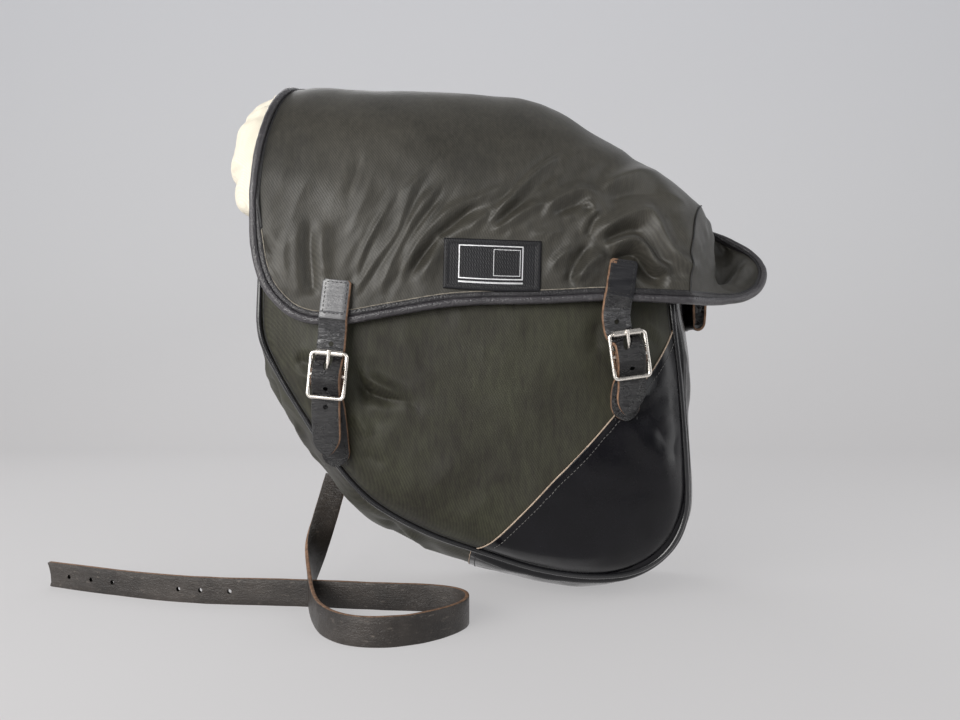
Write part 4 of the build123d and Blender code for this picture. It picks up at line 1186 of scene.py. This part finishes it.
back_mesh = back_piece("back_cloth", back_line[imin, 1] + 0.4, 214, 120, M_BODY, "back_panel", 2.5, 0.35,
        91)
back_piece("back_leather", 209.5, 300, 60, M_BLACK, "back_yoke", 2.4, 0.0, 93)
xl, xr = back_bounds(np.array([213.0]))
for zz, nm in ((213.0, "yoke_stitches_low"), (296.5, "yoke_stitches_top")):
    a0, b0 = (xl[0] + 4, xr[0] - 4) if zz < 250 else (-150, 160)
    ln = np.stack([np.linspace(a0, b0, 90), np.full(90, -0.55), np.full(90, zz)], axis=1)
    stitches(nm, ln, (0, 1, 0), "bag", pitch=3.4, length=2.4, r=0.28, material=M_THREADG)
ln = np.stack([np.linspace(xl[0] + 1, xr[0] - 1, 90), np.full(90, -0.8), np.full(90, 209.2)], axis=1)
trim("yoke_raw_edge", ln, (0, 1, 0), bar_profile(0.6, 0.6, 0.5), M_TAN)
bs = outset(back_line, -5.5)
bs = bs[bs[:, 1] < 205]
stitches("back_edge_stitches", np.stack([bs[:, 0], np.full(len(bs), -0.62), bs[:, 1]], axis=1), (0, 1, 0),
        "bag", pitch=3.4, length=2.3, r=0.28)


# ------------------------------------------------------------------ straps
def tree_of(p):
    return BVHTree.FromPolygons([tuple(v) for v in p.reshape(-1, 3)], grid_faces(*p.shape[:2]))


flap_tree = tree_of(flap_out)


def flap_y(x, z):
    hit = flap_tree.ray_cast(Vector((x, -400.0, z)), Vector((0, 1, 0)))
    return hit[0].y if hit[0] is not None else FRONT


class Side:
    """The place of one strap and its buckle: x is across, z is up from the centre bar, and both lean."""

    def __init__(self, name, bx, bz, lean):
        self.name, self.bx, self.bz, self.lean = name, bx, bz, math.radians(lean)

    def at(self, x, y, z):
        x, y, z = np.broadcast_arrays(np.asarray(x, float), np.asarray(y, float), np.asarray(z, float))
        c, s = math.cos(self.lean), math.sin(self.lean)
        return np.stack([self.bx + x * c + z * s, BUCKLE + y, self.bz - x * s + z * c], axis=-1)

    def across(self):
        return np.array([math.cos(self.lean), 0.0, -math.sin(self.lean)])


def strap(name, path, across, thick, mats, body, left=STRAP / 2, right=STRAP / 2, edge=0.45, wave=0.0, seed=1,
        raw=0):
    """A leather strap: its width and the shapes of its ends come from the half widths left and right."""
    n, half = len(path), STRAP / 2
    a, b = frames_along(path, across)
    sharp, idx = strap_profile(STRAP, thick, edge)
    sharp = np.array(sharp)
    left, right = (np.broadcast_to(w, n)[:, None] / half for w in (left, right))
    pa = sharp[:, 0] * np.where(sharp[:, 0] > 0, right, left)
    s = np.arange(n)
    pb = sharp[:, 1] + wave * hash_noise(s * 0.35, s * 0.0, 1.0, seed)[:, None]
    v = path[:, None] + a[:, None] * pa[..., None] + b[:, None] * pb[..., None]
    m = len(sharp)
    if raw:
        # only one side shows the undyed cut edge, and it is worn round
        mid = (sharp[:, 0] + np.roll(sharp[:, 0], -1)) / 2 * raw
        idx = [int(c > half - 0.75 * edge) for c in mid]
    f = grid_faces(n, m, close_v=True) + end_caps(n, m)
    ob = new_object(name, v.reshape(-1, 3), f, mats, body, mat_index=idx * (n - 1) + [1, 1])
    return ob, a, b


def outward(b):
    """A strap's through direction, turned to face the front."""
    return b * np.sign((b * np.array([0, -1, 0])).sum(1, keepdims=True).mean())


def billet(side, top, hem, tip, bend, mats, holes, tab_end, tip_kind):
    """A flap strap, from its sewn tab through the buckle to its tip; heights are from the centre bar."""
    zs = [top, top - 8, (top + hem) / 2 + 2, hem + 12, hem + 6.5, hem + 1, hem - 5, 28, 20, 15.4, 11.6, 7.5,
            3.4, 0.2, -3.2, -8.0, -12.4, -16.0, -20.5, -27, (tip - 27) / 2, tip]
    pts = []
    for z in zs:
        p = side.at(bend(z), 0, z)
        if z >= hem - 4:
            grow = 1.45 if z > hem + 9 else 3.6
            y = min(flap_y(p[0] + dx, p[2]) for dx in (-8, 0, 8)) - grow - BUCKLE
            y = max(y, -3.0)
            if side.name == "left":
                y = min(y, np.interp(z, [hem, top], [0.6, 5.0]))
        else:
            y = np.interp(-z, [-28, -20, -15.4, -11.6, -7.5, -3.4, -0.2, 3.2, 8.0, 12.4, 16.0, 20.5, 27, 60],
                          [4.3, 4.45, 4.4, 1.9, -2.6, -5.6, -6.25, -5.9, -2.2, 2.0, 3.25, 3.4, 3.9, 5.6])
            if hem - 5 >= z > 28:
                y = 3.6
        pts.append(side.at(bend(z), y, z))
    path = curve_through(pts, 300)
    n = len(path)
    s = lengths_along(path)
    # the tip: its length, the roundness of each side, and how far it leans over
    tip_length, round_left, round_right, tip_lean = tip_kind
    k = np.clip((s - (s[-1] - tip_length)) / tip_length, 0, 1)
    left, right = (STRAP / 2 * np.maximum(1 - k ** e, 0.0) ** 0.8 + 0.4 * k for e in (round_left, round_right))
    path = path + side.across() * (tip_lean * k ** 1.6)[:, None]
    topk = np.clip(1 - s / 2.0, 0, 1)
    left, right = left - 1.6 * topk ** 2, right - 1.6 * topk ** 2
    ob, a, b = strap(side.name + "_strap_leather", path, side.across(), 2.6, mats, "flap", left, right,
            edge=1.1,
                     wave=0.10, seed=5, raw=1 if side.name == "left" else -1)
    outw = outward(b)
    # tab: its upper part is smoother, and coloured with painted light: a painted highlight on the left tab, painted
    # shade on the right one
    me = ob.data
    sides = 20                    # of the strap's section
    mi = np.zeros(len(me.polygons), dtype=np.int32)
    me.polygons.foreach_get("material_index", mi)

    def row_at(z):
        return int(np.argmin(np.abs(path[:, 2] - side.at(0, 0, z)[2])))
    cutrow = row_at(hem + 1)
    seg = np.arange(len(mi)) // sides
    mi[(mi == 0) & (seg < cutrow)] = 2
    worn0 = cutrow + 3 if side.name == "left" else row_at(33)
    mi[(mi == 0) & (seg >= worn0) & (seg < row_at(15.5))] = 3
    if side.name == "right":
        # the dye is rubbed off the tab's upper corner
        mid = np.zeros(len(mi) * 3)
        me.polygons.foreach_get("center", mid)
        mid = mid.reshape(-1, 3) - frame_m(path[np.minimum(seg, n - 1)])
        mi[(seg < 9) & ((mid * a[np.minimum(seg, n - 1)]).sum(1) < -0.0045)] = 1
    me.polygons.foreach_set("material_index", mi)

    def nearest(point):
        return int(np.argmin(np.linalg.norm(path - point, axis=1)))
    cutters = []
    for z in holes:
        y = np.interp(-z, [-28, -20, 0, 8, 16, 27], [4.3, 4.45, -6.2, -2.2, 3.25, 3.9])
        i = nearest(side.at(bend(z), y, z))
        cutters.append(rod(path[i], outw[i], 1.75, 9))
    # the slot that the prong lies in
    i = nearest(side.at(0, 0.2, 9.6))
    cutters.append(rod(path[i] + np.array([0, -1.0, -0.6]), (0, 1, 0), 1.0, 13, 24, (2.6, 5.6)))
    cut(ob, cutters)
    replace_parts(ob, side.name + "_billet")
    # stitching round the tab
    end = row_at(tab_end)
    a0 = 4
    for sx_ in (-1, 1):
        ln = path[a0:end] + a[a0:end] * (sx_ * 7.6) + outw[a0:end] * 1.33
        stitches(side.name + "_tab_stitches_%s" % ("l" if sx_ < 0 else "r"), ln, outw[a0:end], "flap",
                pitch=2.8, length=2.0, r=0.27)
    for kk, nm in ((a0, "top"), (end, "low")):
        ln = path[kk] + np.linspace(-7.4, 7.4, 12)[:, None] * a[kk] + outw[kk] * 1.33
        stitches(side.name + "_tab_stitches_" + nm, ln, outw[kk], "flap", pitch=2.8, length=2.0, r=0.30)


def chape(side, foot, bend):
    """The short strap that is sewn to the front and folded round the centre bar."""
    w = side.across()

    def layer(off):
        pts = []
        for z in (-20, -28, -38, -48, foot + 4, foot):
            if z < foot + 3.9 and z != foot:
                continue
            base = np.interp(-z, [0, 14, 24, 34, 48, 70], [3.2, 8.8, 14.4, 19.2, 22.4, 23.6])
            p = side.at(bend(z), 0, z)
            surf = min(float(front_y(p[0] + dx, p[2])) for dx in (-7, 0, 7)) - BUCKLE
            if side.name == "right":
                surf -= 1.4
            y = min(base + off, surf - 1.5 - (2.7 if off < 1.5 else 0.0))
            pts.append(side.at(bend(z), y, z))
        return pts
    outer = layer(0.0)
    inner = layer(2.75)
    ring = [side.at(0, y, z) for y, z in [(7.4, -14.2), (2.0, -8.2), (-1.9, -3.4), (-3.1, -0.6), (-2.5, 2.0),
            (0.0, 3.25), (2.4, 2.2), (3.3, 0.0), (3.9, -3.4), (6.4, -8.6), (10.4, -14.2)]]
    path = curve_through(outer[::-1] + ring + inner, 260)
    far = lengths_along(path)
    k = np.clip(1 - np.minimum(far, far[-1] - far) / 12.0, 0, 1)
    taper = 10.0 * (1 - k ** 2.2) ** 0.7 + 0.6 * k
    ob = strap(side.name + "_keeper_leather", path, w, 2.5, [M_STRAP, M_EDGE], "bag", taper, taper, wave=0.08,
            seed=9)[0]
    # the slot that the prong turns in
    cut(ob, [rod(side.at(0, -2.0, -1.8), w, 9.5, 4.9, 24)])
    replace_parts(ob, side.name + "_chape")
    ln = curve_through(outer[1:], 40)
    a2, b2 = frames_along(ln, w)
    o2 = outward(b2)
    for sgn2, tag in ((-1, "l"), (1, "r")):
        stitches(side.name + "_keeper_stitches_" + tag, ln + a2 * sgn2 * 7.6 + o2 * 1.28, o2, "bag", pitch=3.0,
                length=2.1, r=0.28)


left_side = Side("left", -105.5, 172.5, 5.5)
right_side = Side("right", 103.5, 186.5, -8.0)


def bend_left(z):
    return float(np.interp(z, [-57, -40, -22, -10, 70], [4.6, 2.4, 0.4, 0, 0]))


def bend_right(z):
    return float(np.interp(z, [-42, -30, -20, -10, 9.5, 15, 23, 31, 37, 48, 66],
            [-4.2, -2.2, -0.6, 0, 0, -4.0, -5.8, -4.6, -2.9, 0.8, 6.6]))


billet(left_side, 66.5, 38.5, -56.5, bend_left, [M_STRAP, M_EDGE, M_TAB_PAINTED_HIGHLIGHT, M_WORN], [22.0, -8.5, -22.0], 42.5,
        (15.0, 2.2, 2.0, 0.0))
billet(right_side, 66.0, 40.5, -41.5, bend_right, [M_STRAP, M_EDGE, M_TAB_PAINTED_SHADE, M_WORN], [24.0, -8.5], 43.5,
        (17.0, 3.2, 1.5, -3.4))
chape(left_side, -66.0, lambda z: float(np.interp(z, [-66, -40, -16, 0], [9.0, 5.0, 0.5, 0])))
chape(right_side, -46.0, lambda z: float(np.interp(z, [-46, -30, -16, 0], [-7.0, -5.4, -0.8, 0])))

# ------------------------------------------------------------------ label
LABEL_Y = FRONT - 2.2
LABEL_LEAN = math.radians(1.5)


def label_xz(gx, gz):
    """Where a point of the leaning, sagging label lies."""
    x = LABEL_X + gx * math.cos(LABEL_LEAN) + gz * math.sin(LABEL_LEAN)
    sag = 1.2 * np.cos(gx / LABEL_W * 1.4) * smoothstep(10, -18, gz)
    return x, LABEL_Z - gx * math.sin(LABEL_LEAN) * 1.4 + gz * math.cos(LABEL_LEAN) - sag


GX, GZ = np.meshgrid(np.linspace(-LABEL_W, LABEL_W, 120), np.linspace(-LABEL_H, LABEL_H, 70), indexing="ij")
LX, LZ = label_xz(GX, GZ)
rib = 0.09 * np.cos(GX * 2 * np.pi / 1.9 + 0.5 * hash_noise(GX, GZ, 5, 121))
rimm = np.minimum(LABEL_W - np.abs(GX), LABEL_H - np.abs(GZ))
LY = (LABEL_Y - rib * smoothstep(1.5, 3.0, rimm) + 0.5 * (GX / LABEL_W) ** 2
      - 0.35 * smoothstep(4.2, 2.2, rimm) + 0.7 * smoothstep(0.9, 0.0, rimm))
lp = np.stack([LX, LY, LZ], axis=2)
if grid_normals(lp)[60, 35, 1] > 0:
    lp = lp[::-1]
label_mesh = strip_grid("label_cloth", lp, [M_LABEL], "flap", 1.1)
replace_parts(label_mesh, "label_patch")


def on_label(gx, gz, lift):
    x, z = label_xz(gx, gz)
    return np.stack([x, LABEL_Y - 0.16 + 0.5 * (gx / LABEL_W) ** 2 - lift, z], axis=-1)


c4 = [(-31.6, -15.0), (31.6, -15.0), (31.6, 15.0), (-31.6, 15.0), (-31.6, -15.0)]
for k in range(4):
    (a0, b0), (a1, b1) = c4[k], c4[k + 1]
    ln = on_label(np.linspace(a0, a1, 40), np.linspace(b0, b1, 40), 0.1)
    stitches("label_stitches_%d" % k, ln, (0, -1, 0), "flap", pitch=2.6, length=1.9, r=0.26)


def rule_frame(name, hw, hh, cx, cz, wide, replaces=None):
    """A flat printed frame on the label."""
    verts, faces = [], []
    n = 30
    corners = [(-hw, -hh), (hw, -hh), (hw, hh), (-hw, hh)]
    for k in range(4):
        (a0, b0), (a1, b1) = corners[k], corners[(k + 1) % 4]
        for t in np.linspace(0, 1, n, endpoint=False):
            px_, pz_ = a0 + (a1 - a0) * t, b0 + (b1 - b0) * t
            q = (1 - wide / hw, 1 - wide / hh)
            for lift in (0.12, 0.34):
                verts.append(on_label(cx + px_, cz + pz_, lift))
                verts.append(on_label(cx + px_ * q[0], cz + pz_ * q[1], lift))
    m = 4 * n
    for i in range(m):
        a, b = 4 * i, 4 * ((i + 1) % m)
        faces += [(a + 2, b + 2, b + 3, a + 3), (a, b, b + 2, a + 2), (a + 1, a + 3, b + 3, b + 1),
                (a, a + 1, b + 1, b)]
    ob = new_object(name, np.array(verts), faces, M_SILVER, "flap", smooth=False)
    if replaces:
        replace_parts(ob, replaces)


rule_frame("label_rule_print", 22.5, 11.4, -1.0, 1.6, 0.75, "label_rule")
rule_frame("label_rule_inner", 9.4, 8.9, 10.2, 1.6, 0.42)
rule_frame("label_rule_foot", 22.5, 0.55, -1.0, -11.9, 0.5)

# ------------------------------------------------------------------ lining that swells out of the mouth
COLLAR = np.array([
    (276, -149, 131, -103, -8, 18), (288, -153, 133, -103, -8, 19), (290.5, -168, 140, -104, -8, 22),
    (294, -179, 145, -105, -8, 26), (302, -186.5, 146, -105.5, -9, 30),
    (316, -190.5, 128, -105, -10, 32), (334, -192.5, 92, -103.5, -13, 34), (352, -191, 58, -100.5, -18, 33),
    (368, -185, 30, -95, -27, 31), (379, -175, 12, -89, -34, 26), (387, -160, -4, -83, -41, 20)], float)

# creases on the lining's left end, as y and z: line, height, width
LINING_FOLDS = [
    ([(-58, 312), (-76, 317), (-99, 329)], -4.6, 4.0), ([(-60, 322), (-78, 328), (-96, 338)], 1.8, 5.5),
    ([(-99, 369), (-80, 366), (-56, 368)], -2.2, 2.6), ([(-97, 352), (-84, 349), (-70, 351)], -1.2, 5.0),
    ([(-96, 383), (-86, 378), (-78, 371)], -2.4, 2.4), ([(-99, 303), (-84, 300), (-66, 304)], 1.6, 5.0),
]


def liner():
    nz, na = 110, 300
    st = smooth_interp(np.linspace(0, 1, nz), np.linspace(0, 1, len(COLLAR)), COLLAR)
    g = np.zeros((na, nz, 3))
    for j in range(nz):
        z, x0, x1, y0, y1, r = st[j]
        hw, hd = (x1 - x0) / 2, (y1 - y0) / 2
        cx, cy = (x0 + x1) / 2, (y0 + y1) / 2
        corner = []
        for k, (sx_, sy_) in enumerate(((1, 1), (-1, 1), (-1, -1), (1, -1))):
            a = np.radians(np.linspace(0, 90, 12) + 90 * k)
            corner.append(np.stack([cx + sx_ * (hw - r) + r * np.cos(a), cy + sy_ * (hd - r) + r * np.sin(a)],
                    axis=1))
        ev = evenly(np.vstack(corner + [corner[0][:1]]), na + 1)[:-1]
        g[:, j, 0], g[:, j, 1], g[:, j, 2] = ev[:, 0], ev[:, 1], z
    g[..., 2] -= 9.0 * smoothstep(-150, -95, g[..., 0]) * smoothstep(335, 387, g[..., 2])
    n = grid_normals(g)
    cen = np.array([-60.0, -56.0])
    s = np.sign(((g[..., :2] - cen) * n[..., :2]).sum(2).mean())
    n = n * s
    arc = np.arange(na)[:, None] * 2.2 * np.ones((1, nz))
    Z = g[..., 2]
    d = 1.5 * hash_noise(arc + 0.5 * Z, Z * 0.7, 42, 101) + 0.35 * hash_noise(arc - 0.3 * Z, Z, 15, 103)
    left = smoothstep(-120, -150, g[..., 0])
    d += folds(g[..., 1], Z, [(*row, 0.45, (0.2, 0.25)) for row in LINING_FOLDS]) * left
    d += 1.9 * hash_noise(arc + 0.15 * Z, Z * 0.06, 6.5, 107) * smoothstep(345, 380, Z)
    d = blur(d, 3) * smoothstep(286, 300, Z) * smoothstep(389, 380, Z)
    d = np.where(d > 0, 2.2 * np.tanh(d / 2.2), 5.0 * np.tanh(d / 5.0))
    p = g + n * d[..., None]
    q = p - n * 1.2
    m = na * nz
    f = grid_faces(na, nz, close_u=True, flip=s > 0)
    f2 = [tuple(k + m for k in r[::-1]) for r in f]
    caps = []
    for j, fl in ((0, False), (nz - 1, True)):
        for i in range(na):
            a, b = i * nz + j, ((i + 1) % na) * nz + j
            caps.append((a, b, b + m, a + m) if fl == (s > 0) else (b, a, a + m, b + m))
    ob = new_object("lining_cloth", np.vstack([p.reshape(-1, 3), q.reshape(-1, 3)]), f + f2 + caps, M_LINER,
            "bag")
    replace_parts(ob, *[n_ for n_ in NODES if n_.startswith("liner_") and n_ != "liner_band"])
    # a drawn hem round the top
    trim("lining_hem", p[:, -2], (0, 0, 1), ring_profile(1.5, 8), M_LINER, close=True)
    return ob


lining_mesh = liner()

# ------------------------------------------------------------------ rack loop
RL = [(175.6, 284), (175.6, 270), (175.5, 256), (175.3, 244), (175.2, 230), (175.3, 217), (176.2, 210.8),
        (179.4, 208.2), (183.0, 210.2), (184.4, 216), (184.9, 228),
      (184.6, 244), (183.4, 252.5), (180.6, 257.4), (178.4, 260.5)]
path = curve_through([(x, -13.0, z) for x, z in RL], 170)
zero = 0 * path[:, 2]
turned = np.stack([-0.42 * smoothstep(262, 246, path[:, 2]), 0.91 + zero, zero], axis=1)
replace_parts(strap("rack_loop_leather", path, turned, 2.5, [M_STRAP, M_EDGE], "bag", wave=0.12, seed=13)[0],
        "rack_loop")
for z0, nm in ((272, "up"), (281, "top")):
    ln = np.array([(177.0, y, z0) for y in np.linspace(-21, -5, 14)])
    stitches("loop_stitches_" + nm, ln, (1, 0, 0), "bag", pitch=2.8, length=2.0, r=0.3)

# the pieces that keep their CAD shape
KEPT = {"strap_anchor": M_BLACK, "back_stiffener": M_BOARD, "liner_band": M_BODY}
for n_, o in NODES.items():
    metal = n_.endswith(("_frame", "_roller", "_prong")) or "rivet" in n_
    m = M_METAL if metal else KEPT.get(n_)
    if m:
        o.data.materials.clear()
        o.data.materials.append(m)
